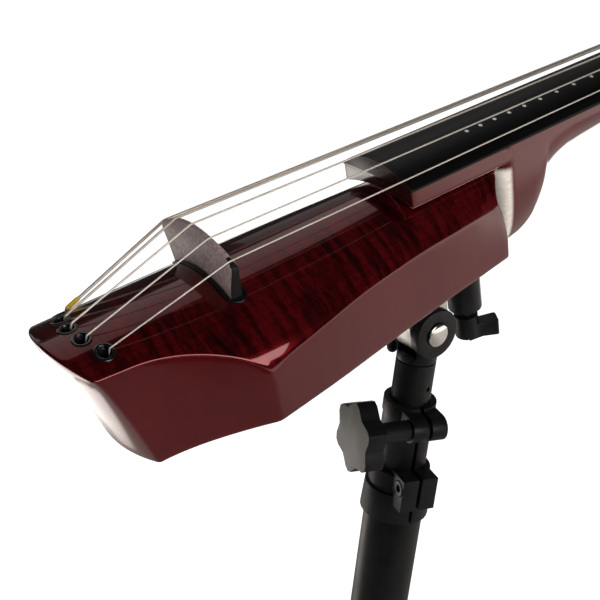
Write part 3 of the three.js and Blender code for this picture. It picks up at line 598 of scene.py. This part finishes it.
def body_ring(xb, inset):
    fade = max(0.0, min(1.0, (-24 - xb) / 55.5))
    fade = fade * fade * (3 - 2 * fade)
    shaped = []
    for y, z in body_section(xb, inset):
        x = xb
        yy, zz = y, z
        if fade > 0:
            base = half_width(xb)
            for _ in range(4):
                x = xb + fade * (tail_x(yy, zz) - TAIL_X)
                yy = y * half_width(x) / base
                zz = z + (arch_z(x, yy) - arch_z(xb, y)) * max(0.0, min(1.0, (z - BACK) / 30))
        if xb > 150:
            x += (end_x(zz) - BODY_END) * (xb - 150) / (BODY_END - 150)
        shaped.append((x, yy, zz))
    mirrored = [(x, -y, z) for x, y, z in shaped[1:-1]]
    return shaped + mirrored[::-1]


def build_body():
    """The closed shell of the body, with more stations at its rounded ends and side corners."""
    quarter = np.linspace(0, math.pi / 2, 6)
    spots = sorted(
        (TAIL_X + TAIL_ROUND * (1 - math.cos(a)), TAIL_ROUND * (1 - math.sin(a))) for a in quarter
    )
    spots += [(x, 0.0) for x in np.arange(-76, -6, 1.6)]
    spots += [(x, 0.0) for x in np.arange(-5.6, 4.2, 0.45)]
    spots += [(x, 0.0) for x in np.arange(6, 174.5, 2.6)]
    spots += [
        (BODY_END - END_ROUND * (1 - math.sin(a)), END_ROUND * (1 - math.cos(a))) for a in quarter
    ]
    rings = [body_ring(x, d) for x, d in spots]
    n = len(rings[0])
    verts = [p for ring in rings for p in ring]
    faces = skin(len(rings), n)

    def cap(ring, first, place, flip):
        """Fills a ring with shrinking copies of itself laid on the end face."""
        last = first
        steps = 7
        mid_z = (ring[0][2] + BACK) / 2
        for s in range(1, steps):
            f = 1 - s / steps
            start = len(verts)
            for _, y, z in ring:
                yy, zz = y * f, mid_z + (z - mid_z) * f
                verts.append((place(yy, zz), yy, zz))
            for j in range(n):
                q = (j + 1) % n
                quad = (last + j, last + q, start + q, start + j)
                faces.append(quad if flip else quad[::-1])
            last = start
        hub = len(verts)
        verts.append((place(0, mid_z), 0, mid_z))
        for j in range(n):
            tri = (last + j, last + (j + 1) % n, hub)
            faces.append(tri if flip else tri[::-1])

    cap(rings[0], 0, lambda y, z: tail_x(y, z), False)
    cap(rings[-1], (len(rings) - 1) * n, lambda y, z: end_x(z), True)
    return new_object("body_shell", verts, faces)


# Anchor holes in a bow along the tail, then the places of the bores in the side and the cover's recess.
HOLE_Y = [(i - 2) * 11.7 for i in range(5)]
HOLE_X = [-74.2 + 0.0116 * y * y for y in HOLE_Y]
HOLE_R = 4.5
KNOB_X = (52, 84)
JACK_X = 20
FLANK_TURN = -0.138
COVER_RECESS = (21.8, 92.2, 24.2)
CUT_ROOM = 0.12


def cylinder(name, radius, z0, z1, sides=48, x=0.0, y=0.0):
    spots = [2 * math.pi * i / sides for i in range(sides)]
    ring = [(x + radius * math.cos(a), y + radius * math.sin(a)) for a in spots]
    verts, faces = loft_mesh([[(px, py, z) for px, py in ring] for z in (z0, z1)])
    return new_object(name, verts, faces)


def boolean(obj, tool, operation="DIFFERENCE"):
    m = obj.modifiers.new("Cut", "BOOLEAN")
    m.operation = operation
    m.object = tool
    m.solver = "EXACT"
    apply_modifiers(obj)
    bpy.data.objects.remove(tool)
    return obj


def stadium(grow, z0, z1):
    """The bridge base's outline, grown a little: two half circles joined by straight sides."""
    r, reach, middle, steps = 6.0 + grow, 24.3, 1.5, 36
    ring = []
    for i in range(steps + 1):
        a = math.pi * i / steps
        ring.append((middle + r * math.cos(a), reach + r * math.sin(a)))
    for i in range(steps + 1):
        a = math.pi + math.pi * i / steps
        ring.append((middle + r * math.cos(a), -reach + r * math.sin(a)))
    return loft_mesh([[(x, y, z) for x, y in ring] for z in (z0, z1)])


# The carved top and the core are glued and lacquered over as one, so one shell stands for both.
body = build_body()
body.data.materials.append(RED)
body.data.materials.append(FLAME)
for p in body.data.polygons:
    c = p.center
    on_top = c.z > arch_z(c.x, c.y) - RED_WALL and p.normal.z > 0.2
    p.material_index = 1 if on_top else 0
for i in range(5):
    body = boolean(body, cylinder("drill", HOLE_R + CUT_ROOM, -30, 30, 40, HOLE_X[i], HOLE_Y[i]))
v, f = stadium(CUT_ROOM, -20, 40)
body = boolean(body, new_object("drill", v, f))
for x in KNOB_X:
    bore = cylinder("drill", 3.3, -16, 10)
    turn = Matrix.Rotation(FLANK_TURN, 4, "Z") @ Matrix.Rotation(-math.pi / 2, 4, "X")
    bore.data.transform(Matrix.Translation((x, half_width(x), BORE_Z)) @ turn)
    body = boolean(body, bore)
bore = cylinder("drill", 6.2, -22, 12)
outward = Matrix.Rotation(-math.pi / 2, 4, "X")
bore.data.transform(Matrix.Translation((JACK_X, half_width(JACK_X), BORE_Z)) @ outward)
body = boolean(body, bore)
x0, x1, half = COVER_RECESS
recess = [(x0, -half), (x1, -half), (x1, half), (x0, half)]
v, f = loft_mesh([[(x, y, z) for x, y in recess] for z in (-75, BACK + 2.7)])
body = boolean(body, new_object("drill", v, f))
body.data.transform(PLACE)
finish_piece(body, "instrument", "body_lacquer", None, "body_core", "carved_top", sharp=38)

# ---------------------------------------------------------------- fingerboard and neck
BOARD_X0, BOARD_X1 = 111.7, 686.0
BOARD_R = 47.0
BOARD_CROWN, CROWN_SLOPE = 13.4, 0.04165
BOARD_HALF0, BOARD_HALF1 = 29, 21
NECK_GAP = 0.3


def board_half(x):
    return BOARD_HALF0 + (BOARD_HALF1 - BOARD_HALF0) * (x - BOARD_X0) / (NUT_X - BOARD_X0)


def board_top(x, y):
    drop = BOARD_R - math.sqrt(BOARD_R * BOARD_R - y * y)
    return BOARD_CROWN - drop - CROWN_SLOPE * (x - BOARD_X0)


def seat_z(x):
    return board_top(BOARD_X0, BOARD_HALF0) - 1.3 - 0.0365 * (x - BOARD_X0)


def board_ring(x, inset):
    w = board_half(x) - inset
    r = max(0.08, 0.55 - inset)
    spots = [(w - r) * math.cos(math.pi * i / 48) for i in range(49)]
    arch = [(y, board_top(x, y) - inset) for y in spots]
    rim = board_top(x, w) - inset
    right = bezier(arch[-1], (-w, rim), (-w, rim - r), 4)
    left = [(-y, z) for y, z in right][::-1]
    base = seat_z(x) + 0.02
    ring = left[:-1] + arch + right[1:] + [(-w, base), (0, base), (w, base)]
    return [(x, y, z) for y, z in ring]


def end_spots(x, radius, outward):
    """Stations (x, inset) rounding off an end face at x; outward is -1 at a lower end, else +1."""
    angles = np.linspace(0, math.pi / 2, 5)
    spots = [(x - outward * radius * (1 - math.cos(a)), radius * (1 - math.sin(a))) for a in angles]
    return spots if outward < 0 else spots[::-1]


spots = end_spots(BOARD_X0 + 0.02, 0.5, -1)
spots += [(x, 0.0) for x in np.linspace(118, 680, 60)] + end_spots(BOARD_X1 - 0.02, 0.5, 1)
v, f = loft_mesh([board_ring(x, d) for x, d in spots])
board = new_object("fingerboard_fine", v, f)
board.data.materials.append(EBONY)
board.data.materials.append(BOARD_END)
for p in board.data.polygons:
    if p.normal.x < -0.35:
        p.material_index = 1
board.data.transform(PLACE)
finish_piece(board, "instrument", "ebony", None, "fingerboard", sharp=32)

# Underside of the heel and the neck. It lies up to 2.8 mm above the CAD's from x 220 on.
NECK_UNDER = [
    (178, -67.6), (190, -67.4), (197, -66.6), (203, -64.4), (207.5, -61.2), (211, -57.4),
    (213.4, -53.2), (214.2, -49), (215.0, -45.2), (217, -40.6), (220.5, -36.4), (226, -32.8),
    (235, -30.0), (252, -27.6), (285, -26.2), (480, -31.8), (690, -38.5),
]
# Exponent of the section: high is square, as at the heel and the head, 2 is round.
NECK_SQUARE = [(178, 4.4), (205, 3.6), (216, 2.7), (237, 2.3), (676, 2.3), (708, 8), (848, 8)]
HEAD_HALF = [(690, 21), (708, 25), (725, 29), (742, 29), (790, 22), (825, 17), (848, 13)]
UNDER_STEPS = 56


def head_top(x):
    return HEAD_Z - HEAD_SLOPE * (x - HEAD_X)


def neck_ring(x, inset=0.0):
    on_head = x > 687
    top = head_top(max(x, HEAD_X)) - inset if on_head else seat_z(x) - NECK_GAP
    w = (eased(HEAD_HALF, x) if on_head else board_half(x) - 0.4) - inset
    under = (min(-38.5, head_top(x) - 17) if on_head else eased(NECK_UNDER, x)) + inset
    square = along(NECK_SQUARE, x)
    ring = [(x, w * (1 - 2 * i / 12), top) for i in range(13)]
    root = 1.0
    if x < 187:
        root = 1 - (8 - math.sqrt(max(0.0, 64 - (187 - x) ** 2))) / w
    for i in range(1, UNDER_STEPS):
        a = math.pi * i / UNDER_STEPS
        c = -math.cos(a)
        y = w * math.copysign(abs(c) ** (2 / square), c)
        z = top - 1.2 - (top - 1.2 - under) * math.sin(a) ** (2 / square)
        drop = min(1.0, max(0.0, (top - 9.4 - z) / 7.0))
        ring.append((x, y * (1 + (root - 1) * math.sin(drop * math.pi / 2)), z))
    return ring


def blade_ring(x, inset=0.0):
    """Section of the overhanging part: flat seat, upright sides, narrow lips and a hollow between."""
    w = board_half(x) - 0.4 - inset
    top = seat_z(x) - NECK_GAP
    low = top - 9.2 + inset
    ring = [(w * (1 - 2 * i / 12), top) for i in range(13)]
    r = max(0.06, 0.6 - inset)
    hollow = w - 1.9 + inset
    radius = 54.0
    edge = radius - math.sqrt(radius * radius - hollow * hollow)
    side = [(-w, top - (top - low - r) * i / 6) for i in range(1, 7)]
    side += bezier((-w, low + r), (-w, low), (-w + r, low), 4)[1:]
    side += [(-hollow - 0.3, low)]
    arc = []
    for i in range(33):
        y = -hollow * math.cos(math.pi * i / 32)
        sag = radius - math.sqrt(radius * radius - y * y)
        arc.append((y, low + (edge - sag) * 0.56))
    ring += side + arc + [(-y, z) for y, z in side][::-1]
    return [(x, y, z) for y, z in ring]


blade_spots = end_spots(BOARD_X0 + 0.25, 0.7, -1) + [(x, 0.0) for x in np.linspace(116, 186, 26)]
v, f = loft_mesh([blade_ring(x, d) for x, d in blade_spots])
blade = new_object("blade", v, f)
xs = [178.32, 178.6, 179.2, *np.arange(180, 205, 1.2), *np.arange(205, 222, 0.7)]
xs += [*np.arange(222.5, 262, 1.6), *np.linspace(264, 684, 90), 686.3, *np.linspace(688, 846.5, 70)]
rings = [neck_ring(x) for x in xs] + [neck_ring(x, d) for x, d in end_spots(848, 1.2, 1)]
v, f = loft_mesh(rings)
neck = boolean(new_object("neck_fine", v, f), blade, "UNION")
for (u, side, string), d in zip(TUNERS, DIAMETER):
    y = side * (abs(string - 2) * NUT_PITCH + 3 + d / 2 + 0.3)
    bore = cylinder("drill", 3.3, -47, 20, 24)
    bore.data.transform(HEAD @ Matrix.Translation((u, y, 0)))
    neck = boolean(neck, bore)
neck.data.materials.append(NECK_RED)
neck.data.materials.append(BLADE_END)
neck.data.materials.append(PAINTED_EDGE_HIGHLIGHT)
RIM_DEPTH = 8.6
for p in neck.data.polygons:
    # 1 is the blade's end face, 2 a painted highlight: a pale colour on the rim under that face and
    # along the blade's lower sides, standing in for the light the rounded edge catches.
    c, facing = p.center, p.normal
    p.material_index = 1 if facing.x < -0.6 and c.x < 115 else 0
    slanted = facing.z < -0.2 and abs(facing.y) > 0.3 and facing.x > -0.3
    if c.x < 112.8 and -0.95 < facing.x < -0.15 and facing.z < -0.3:
        p.material_index = 2
    elif c.x < 175 and c.z < seat_z(c.x) - RIM_DEPTH and slanted:
        p.material_index = 2 if abs(c.y) > board_half(c.x) - 1.3 else 0
neck.data.transform(PLACE)
finish_piece(neck, "instrument", "body_lacquer", None, "neck", sharp=34)

# Position dots, a semitone apart. The shift places them as the photograph shows them on the arch.
DOT_SHIFT, DOT_SIDES = 2.8, 20
DOT_RINGS = [(1.25, -0.3), (1.25 - 0.1, 0.03)]
dots_v, dots_f = [], []
for n in range(1, 25):
    x = NUT_X * 2 ** (-n / 12) - DOT_SHIFT
    if x < BOARD_X0 + 4:
        continue
    y = -10.2 * board_half(x) / 28
    start = len(dots_v)
    for r, lift in DOT_RINGS:
        for i in range(DOT_SIDES):
            a = 2 * math.pi * i / DOT_SIDES
            px, py = x + r * math.cos(a), y + r * math.sin(a)
            dots_v.append((px, py, board_top(px, py) + lift))
    for i in range(DOT_SIDES):
        j = (i + 1) % DOT_SIDES
        dots_f.append((start + i, start + j, start + DOT_SIDES + j, start + DOT_SIDES + i))
    dots_f.append(tuple(range(start + DOT_SIDES, start + 2 * DOT_SIDES)))
    dots_f.append(tuple(range(start, start + DOT_SIDES))[::-1])
dots = new_object("position_dots", dots_v, dots_f, matrix=PLACE)
finish_piece(dots, "instrument", "ebony", PEARL)

# ---------------------------------------------------------------- bridge
BRIDGE_R, BRIDGE_Z, BRIDGE_STEP = 57.6, 24.8, 15.5
FOOT_HALF, SLOT_Z, TOP_HALF = 27.5, -13.0, 34.2
GROOVE, STRING_LIFT = 1.15, 0.3


def bridge_arc(y):
    return BRIDGE_Z - (BRIDGE_R - math.sqrt(BRIDGE_R * BRIDGE_R - y * y))


def bridge_outline():
    """Closed outline (y, z): straight foot, flared sides, curved top with a groove under each string."""
    pts = [(-FOOT_HALF, SLOT_Z), (FOOT_HALF, SLOT_Z)]
    top = bridge_arc(TOP_HALF)
    side = bezier((FOOT_HALF + 0.2, -8), (FOOT_HALF + 0.9, -2), (TOP_HALF - 0.6, top - 3.2), 12)
    pts += side
    pts += bezier(
        (TOP_HALF - 0.5, top - 2.6), (TOP_HALF - 0.1, top - 0.9), (TOP_HALF - 1.0, top - 0.45), 4
    )
    y = TOP_HALF - 1.4
    while y > -TOP_HALF + 1.3:
        z = bridge_arc(y) - 0.62
        for i in range(5):
            r = DIAMETER[i] / 2
            yb = (i - 2) * BRIDGE_STEP
            gap = r + 0.12
            if abs(y - yb) < gap:
                zb = bridge_arc(yb) - GROOVE + STRING_LIFT + r
                z = min(z, zb - math.sqrt(max(0.0, gap * gap - (y - yb) ** 2)) + 0.1)
        pts.append((y, z))
        y -= 0.3
    pts += bezier(
        (-TOP_HALF + 1.0, top - 0.45), (-TOP_HALF + 0.1, top - 0.9), (-TOP_HALF + 0.5, top - 2.6), 4
    )
    pts += [(-y, z) for y, z in side][::-1]
    return pts


def inset_outline(pts, d):
    out = []
    n = len(pts)
    for i in range(n):
        (y0, z0), (y1, z1) = pts[i - 1], pts[(i + 1) % n]
        t = math.hypot(y1 - y0, z1 - z0) or 1.0
        out.append((pts[i][0] - d * (z1 - z0) / t, pts[i][1] + d * (y1 - y0) / t))
    return out


def bridge_faces(z):
    rise = min(1, max(0, (z + 6) / (BRIDGE_Z + 5)))
    tail = -2 + 0.9 * rise
    return tail + 0.02, tail + 6.5 - 4.3 * rise - 0.02


# Layers from the tail side to the neck side: share of the thickness, and how far the edge is drawn in.
BLADE_LAYERS = [
    (0.0, 0.45), (0.06, 0.16), (0.14, 0.03), (0.25, 0.0),
    (0.75, 0.0), (0.86, 0.03), (0.94, 0.16), (1.0, 0.45),
]


def bridge_blade():
    outline = bridge_outline()
    rings = []
    for share, inset in BLADE_LAYERS:
        ring = []
        for y, z in inset_outline(outline, inset):
            x0, x1 = bridge_faces(z)
            ring.append((x0 + (x1 - x0) * share, y, z))
        rings.append(ring)
    n = len(outline)
    verts = [p for ring in rings for p in ring]
    faces = skin(len(rings), n)
    # Each broad face is one polygon; level cuts let it bend where the taper changes.
    for first, flip in ((0, False), ((len(rings) - 1) * n, True)):
        face = tuple(range(first, first + n))
        faces.append(face if flip else face[::-1])
    obj = new_object("bridge_blade", verts, faces)
    bm = bmesh.new()
    bm.from_mesh(obj.data)
    for z in (-6.0, 2.0, 10.0, 18.0):
        geom = bm.verts[:] + bm.edges[:] + bm.faces[:]
        bmesh.ops.bisect_plane(bm, geom=geom, plane_co=(0, 0, z), plane_no=(0, 0, 1), dist=1e-5)
    bmesh.ops.triangulate(bm, faces=[f for f in bm.faces if len(f.verts) > 4])
    bm.to_mesh(obj.data)
    bm.free()
    return obj


bridge = bridge_blade()
bridge.data.transform(PLACE)
bridge.data.materials.append(BRIDGE)
bridge.data.materials.append(BRIDGE_SIDE_SHADE)
side_way = (TURN.to_3x3() @ Vector((0, 1, 0))).normalized()
# The faces turned to the sides take the painted shade.
for p in bridge.data.polygons:
    p.material_index = 1 if abs(p.normal.dot(side_way)) > 0.5 else 0
finish_piece(bridge, "instrument", "bridge_wood", None, "bridge", sharp=40)

# ---------------------------------------------------------------- strings


def nut_arc(y):
    return -9.6 - y * y / (2 * BOARD_R)


def string_points(i):
    r = DIAMETER[i] / 2
    yb = (i - 2) * BRIDGE_STEP
    zb = bridge_arc(yb) - GROOVE + STRING_LIFT + r
    yn = (i - 2) * NUT_PITCH
    zn = nut_arc(yn) - 1.2 + STRING_LIFT + r
    u = TUNERS[i][0]
    xh, yh = HOLE_X[i], HOLE_Y[i]
    rim = arch_z(xh, abs(yh) + HOLE_R) + 0.4
    lip = max(rim + 1.35, arch_z(xh, abs(yh)) + r + 0.1)
    return [
        Vector((xh + 1.4, yh, rim - 6)),
        Vector((xh + 1.6, yh, rim - 1.2)),
        Vector((xh + 2.6, yh + (yb - yh) * 0.02, lip)),
        Vector((-0.9, yb, zb)),
        Vector((0.9, yb, zb)),
        Vector((NUT_X - 3.4, yn, zn)),
        Vector((NUT_X + 1.7, yn, zn)),
        HEAD @ Vector((u - 3, yn, 8)),
        HEAD @ Vector((u + 1.5, yn, 8)),
    ]


def round_corners(points):
    """The same route with each corner replaced by a short curve."""
    cut, steps = 0.8, 4
    out = [points[0]]
    for a, b, c in zip(points, points[1:], points[2:]):
        d0 = min(cut, (b - a).length * 0.45)
        d1 = min(cut, (c - b).length * 0.45)
        p0 = b + (a - b).normalized() * d0
        p2 = b + (c - b).normalized() * d1
        for s in range(steps + 1):
            t = s / steps
            out.append(p0 * (1 - t) ** 2 + b * 2 * t * (1 - t) + p2 * t * t)
    out.append(points[-1])
    return out


def tube(name, points, radii, sides=14):
    """A round tube along a route, with one radius for each of its points."""
    rings = []
    side = None
    for k, p in enumerate(points):
        t = (points[min(k + 1, len(points) - 1)] - points[max(k - 1, 0)]).normalized()
        if side is None:
            side = Vector((0, 1, 0)) - t * t.y
            side.normalize()
        side = (side - t * side.dot(t)).normalized()
        across = t.cross(side)
        turns = [2 * math.pi * j / sides for j in range(sides)]
        rings.append(
            [p + side * (radii[k] * math.cos(a)) + across * (radii[k] * math.sin(a)) for a in turns]
        )
    verts, faces = loft_mesh(rings)
    return new_object(name, verts, faces, matrix=PLACE)


for i in range(5):
    route = round_corners(string_points(i))
    s = tube(f"string_{i + 1}_wound", route, [DIAMETER[i] / 2 - 0.01] * len(route))
    winding = STRING[0] if i < 3 else STRING[1]
    finish_piece(s, "instrument", "string_steel", winding, f"string_{i + 1}", sharp=60)

# Yellow silk on the bass string where it leaves its hole.
p = string_points(4)
run = (p[3] - p[2]).normalized()
wrap = [p[2] + run * s for s in np.linspace(0.2, 8.5, 12)]
silk_piece = tube("silk_wrap_5", wrap, [1.05, 1.25] + [1.3] * 8 + [1.15, 0.95], 16)
finish_piece(silk_piece, "instrument", "string_steel", SILK_YELLOW)

# ---------------------------------------------------------------- linings of the anchor holes
# Section of the lip: radius, and height above the top.
LINING = [(3.4, 0.1), (3.6, 0.38), (4.1, 0.5), (4.7, 0.42), (5.0, 0.12), (4.95, -0.1), (4.4, -0.3)]


def lipped_ring(name, x0, y0):
    """A tube whose lip follows the sloping top round its hole."""
    sides = 40
    foot = arch_z(x0, y0) - 12
    rings = []
    for k in range(sides):
        c, s = math.cos(2 * math.pi * k / sides), math.sin(2 * math.pi * k / sides)
        lip = [(x0 + r * c, y0 + r * s, arch_z(x0 + r * c, abs(y0 + r * s)) + d) for r, d in LINING]
        rings.append([(x0 + 3.4 * c, y0 + 3.4 * s, foot), *lip, (x0 + 4.4 * c, y0 + 4.4 * s, foot)])
    n = len(rings[0])
    faces = []
    for k in range(sides):
        a, b = k * n, (k + 1) % sides * n
        faces += [(a + j, b + j, b + (j + 1) % n, a + (j + 1) % n) for j in range(n)]
    return new_object(name, [p for ring in rings for p in ring], faces, matrix=PLACE)


# ---------------------------------------------------------------- refined copies of the CAD nodes
def refine(name, body, slot, material, width, segments=3, angle=30):
    """A CAD node's own shape with its edges rounded by width millimetres."""
    obj = fine_copy(name)
    bevel(obj, width, segments, angle)
    return finish_piece(obj, body, slot, material, name)


refine("bridge_base", "instrument", "black_plastic", BLACK_GLOSS, 0.35)
refine("nut", "instrument", "ebony", EBONY, 0.3)
refine("electronics_cover", "instrument", "black_plastic", BLACK_MATTE, 0.4)
for i in range(1, 6):
    rim = lipped_ring(f"ferrule_{i}_lipped", HOLE_X[i - 1], HOLE_Y[i - 1])
    finish_piece(rim, "instrument", "black_plastic", RIM_GLOSS, f"ferrule_{i}", sharp=50)
    refine(f"tuner_post_{i}", f"post_{i}", "chrome", CHROME, 0.35)
    refine(f"tuner_key_{i}", f"key_{i}", "chrome", CHROME, 0.3, angle=50)
    refine(f"tuner_housing_{i}", "instrument", "chrome", CHROME, 0.9)
refine("output_jack", "instrument", "chrome", CHROME, 0.4)
refine("volume_knob", "volume", "black_metal_knob", KNOB, 0.5)
refine("tone_knob", "tone", "black_metal_knob", KNOB, 0.5)
refine("mount_plate", "instrument", "black_metal", BLACK_COAT, 0.8)
refine("tilt_knuckle", "instrument", "cast_metal", CAST, 1.0)
refine("clamp_post", "instrument", "black_metal", BLACK_COAT, 0.6)
refine("clamp_lever", "clamp_handle", "black_plastic", BLACK_MATTE, 0.9)
refine("yoke", "riser", "black_metal", BLACK_COAT, 0.7)
refine("hinge_pin", "riser", "chrome", CHROME, 0.5)
refine("tilt_lever", "tilt_lock", "black_plastic", BLACK_MATTE, 0.6)
refine("inner_tube", "riser", "black_metal", BLACK_COAT, 0.4)
refine("sleeve_clamp", "base", "black_plastic", BLACK_MATTE, 0.7)
star = refine("star_knob", "sleeve_lock", "black_plastic", BLACK_MATTE, 0.8)
widest = max(star.data.polygons, key=lambda p: p.area)
star.data.materials.append(LIT_FACE_PAINT)
# The broad face takes the painted light; the rest of the knob stays black.
for p in star.data.polygons:
    if p.normal.dot(widest.normal) > 0.985:
        p.material_index = 1
refine("outer_tube", "base", "black_metal", BLACK_COAT, 0.5)
refine("lower_clamp", "base", "black_plastic", BLACK_MATTE, 1.3, 4)
refine("socket_screw", "base", "black_metal", BLACK_COAT, 0.3)
refine("leg_hub", "base", "black_plastic", BLACK_MATTE, 0.8)
for k in (1, 2, 3):
    refine(f"leg_{k}", f"leg_{k}_swing", "black_metal", BLACK_COAT, 0.5)
    refine(f"leg_pin_{k}", "base", "chrome", CHROME, 0.4)
    refine(f"foot_{k}", f"leg_{k}_swing", "rubber", RUBBER, 0.8)

# ---------------------------------------------------------------- floor, light, camera
def ground(name, size, height):
    mesh = bpy.data.meshes.new(name)
    corners = [(-size, -size), (size, -size), (size, size), (-size, size)]
    mesh.from_pydata([(x, y, height) for x, y in corners], [], [(0, 1, 2, 3)])
    obj = bpy.data.objects.new(name, mesh)
    bpy.context.scene.collection.objects.link(obj)
    return obj


floor = ground("floor", 60, 0)
mat, t, b = new_material("floor_pale")
b.inputs["Base Color"].default_value = (0.8, 0.8, 0.8, 1)
b.inputs["Roughness"].default_value = 0.95
b.inputs["Specular IOR Level"].default_value = 0.1
b.inputs["Emission Color"].default_value = (1, 1, 1, 1)
b.inputs["Emission Strength"].default_value = 0.86
floor.data.materials.append(mat)
floor.visible_glossy = False

# Reflector cards lie on the floor round the stand. Only gloss sees them: they shape the
# reflections in the lacquer.
cards = ground("reflector_cards", 6, 0.002)
cards.visible_camera = False
cards.visible_diffuse = False
cards.visible_transmission = False
cards.visible_shadow = False
mat, t, b = new_material("reflector_glow")
b.inputs["Base Color"].default_value = (0.01, 0.01, 0.01, 1)
b.inputs["Roughness"].default_value = 1.0
b.inputs["Specular IOR Level"].default_value = 0.0
b.inputs["Emission Color"].default_value = (1.0, 0.93, 0.87, 1)
where = node(t, "ShaderNodeTexCoord")


def card(limits):
    """Product of soft steps; each is (heading x, heading y, start, stop)."""
    out = None
    for hx, hy, start, stop in limits:
        across = node(t, "ShaderNodeVectorMath", operation="DOT_PRODUCT")
        across.inputs[1].default_value = (hx, hy, 0)
        link(t, where.outputs["Object"], across.inputs[0])
        step = node(t, "ShaderNodeMapRange", interpolation_type="SMOOTHSTEP")
        step.inputs["From Min"].default_value = start
        step.inputs["From Max"].default_value = stop
        link(t, across.outputs["Value"], step.inputs["Value"])
        out = step.outputs["Result"] if out is None else joined(out, step.outputs["Result"], "MULTIPLY")
    return out


def joined(a, c, operation):
    m = node(t, "ShaderNodeMath", operation=operation)
    link(t, a, m.inputs[0])
    if isinstance(c, float):
        m.inputs[1].default_value = c
    else:
        link(t, c, m.inputs[1])
    return m.outputs[0]


# Strength and soft limits of each card. The fourth and fifth are what the tail's face reflects and
# the last is for the fingerboard's end; the others are broad zones for the rest.
glow = None
for strength, limits in (
    (0.30, [(0.766, 0.643, -0.98, -0.84), (0, -1, -1.15, -0.95)]),
    (0.28, [(1, 0, 0.2, 0.9), (0, -1, -0.3, 0.3)]),
    (1.0, [(0.55, -0.84, 2.0, 3.0)]),
    (2.0, [(-0.85, 0.53, 0.612, 0.662), (0, 1, 0.36, 0.44), (1, 0, -0.85, -0.62), (0, -1, -1.1, -0.8)]),
    (1.1, [(-0.67, 0.74, 0.69, 0.76), (1, 0, -0.42, -0.20), (0, -1, -1.25, -0.95), (-1, 0, -0.9, -0.3)]),
    (1.5, [(1, 0, 1.0, 1.6), (0, 1, 0.2, 0.8)]),
    (0.10, [(0, 1, 0.6, 0.9)]),
    (3.4, [(0, 1, 0.85, 0.94), (0, -1, -1.4, -1.1), (1, 0, -0.95, -0.85), (-1, 0, 0.45, 0.56)]),
):
    part = joined(card(limits), strength, "MULTIPLY")
    glow = part if glow is None else joined(glow, part, "ADD")
link(t, glow, b.inputs["Emission Strength"])
cards.data.materials.append(mat)

# The camera sees a white world; every other ray sees a dim one, so that gloss shows the lights.
world = bpy.data.worlds.new("studio")
world.use_nodes = True
bpy.context.scene.world = world
wt = world.node_tree
bg = wt.nodes["Background"]
bg.inputs["Color"].default_value = (1, 1, 1, 1)
path = wt.nodes.new("ShaderNodeLightPath")
level = wt.nodes.new("ShaderNodeMapRange")
level.inputs["To Min"].default_value = 0.02
level.inputs["To Max"].default_value = 1.0
wt.links.new(path.outputs["Is Camera Ray"], level.inputs["Value"])
wt.links.new(level.outputs["Result"], bg.inputs["Strength"])

AIM = Vector((POLE_X / 1000 - 0.05, 0, 0.74))


def direction(azimuth, elevation):
    """Unit vector; azimuth 0 is +Y and grows towards +X."""
    a, e = math.radians(azimuth), math.radians(elevation)
    return Vector((math.sin(a) * math.cos(e), math.cos(a) * math.cos(e), math.sin(e)))


def panel(name, azimuth, elevation, distance, width, height, radiance):
    light = bpy.data.lights.new(name, "AREA")
    light.shape = "RECTANGLE"
    light.size, light.size_y = width, height
    light.energy = radiance * math.pi * width * height
    obj = bpy.data.objects.new(name, light)
    obj.location = AIM + direction(azimuth, elevation) * distance
    obj.rotation_euler = (AIM - obj.location).to_track_quat("-Z", "Y").to_euler()
    obj.visible_camera = False
    bpy.context.scene.collection.objects.link(obj)


panel("back_top", 8, 56, 3.0, 3.0, 2.0, 0.55)
panel("back_left", -16, 17, 3.2, 1.5, 1.9, 0.45)
panel("back_right", 34, 24, 3.2, 1.6, 1.2, 0.15)
panel("front", 182, 16, 3.0, 2.2, 0.9, 6.0)

sun_data = bpy.data.lights.new("key", "SUN")
sun_data.energy = 0.85
sun_data.angle = math.radians(40)
sun = bpy.data.objects.new("key", sun_data)
sun.rotation_euler = (-direction(128, 52)).to_track_quat("-Z", "Y").to_euler()
sun.visible_glossy = False
bpy.context.scene.collection.objects.link(sun)

camera_data = bpy.data.cameras.new("camera")
camera_data.sensor_width = 36
camera_data.lens = 62.087
camera = bpy.data.objects.new("camera", camera_data)
bpy.context.scene.collection.objects.link(camera)
# Solved from the photograph, in the instrument's frame.
CAM = Vector((-184.578, -407.979, 253.198))
FORWARD = Vector((0.422109, 0.731022, -0.536126))
UP = Vector((0.426336, 0.361837, 0.829043))
spin = TURN.to_3x3()
forward = (spin @ FORWARD).normalized()
upward = (spin @ UP).normalized()
right = forward.cross(upward).normalized()
upward = right.cross(forward).normalized()
basis = Matrix((right, upward, -forward)).transposed().to_4x4()
camera.matrix_world = Matrix.Translation(PLACE @ CAM) @ basis
bpy.context.scene.camera = camera

scene = bpy.context.scene
scene.view_settings.view_transform = "Standard"
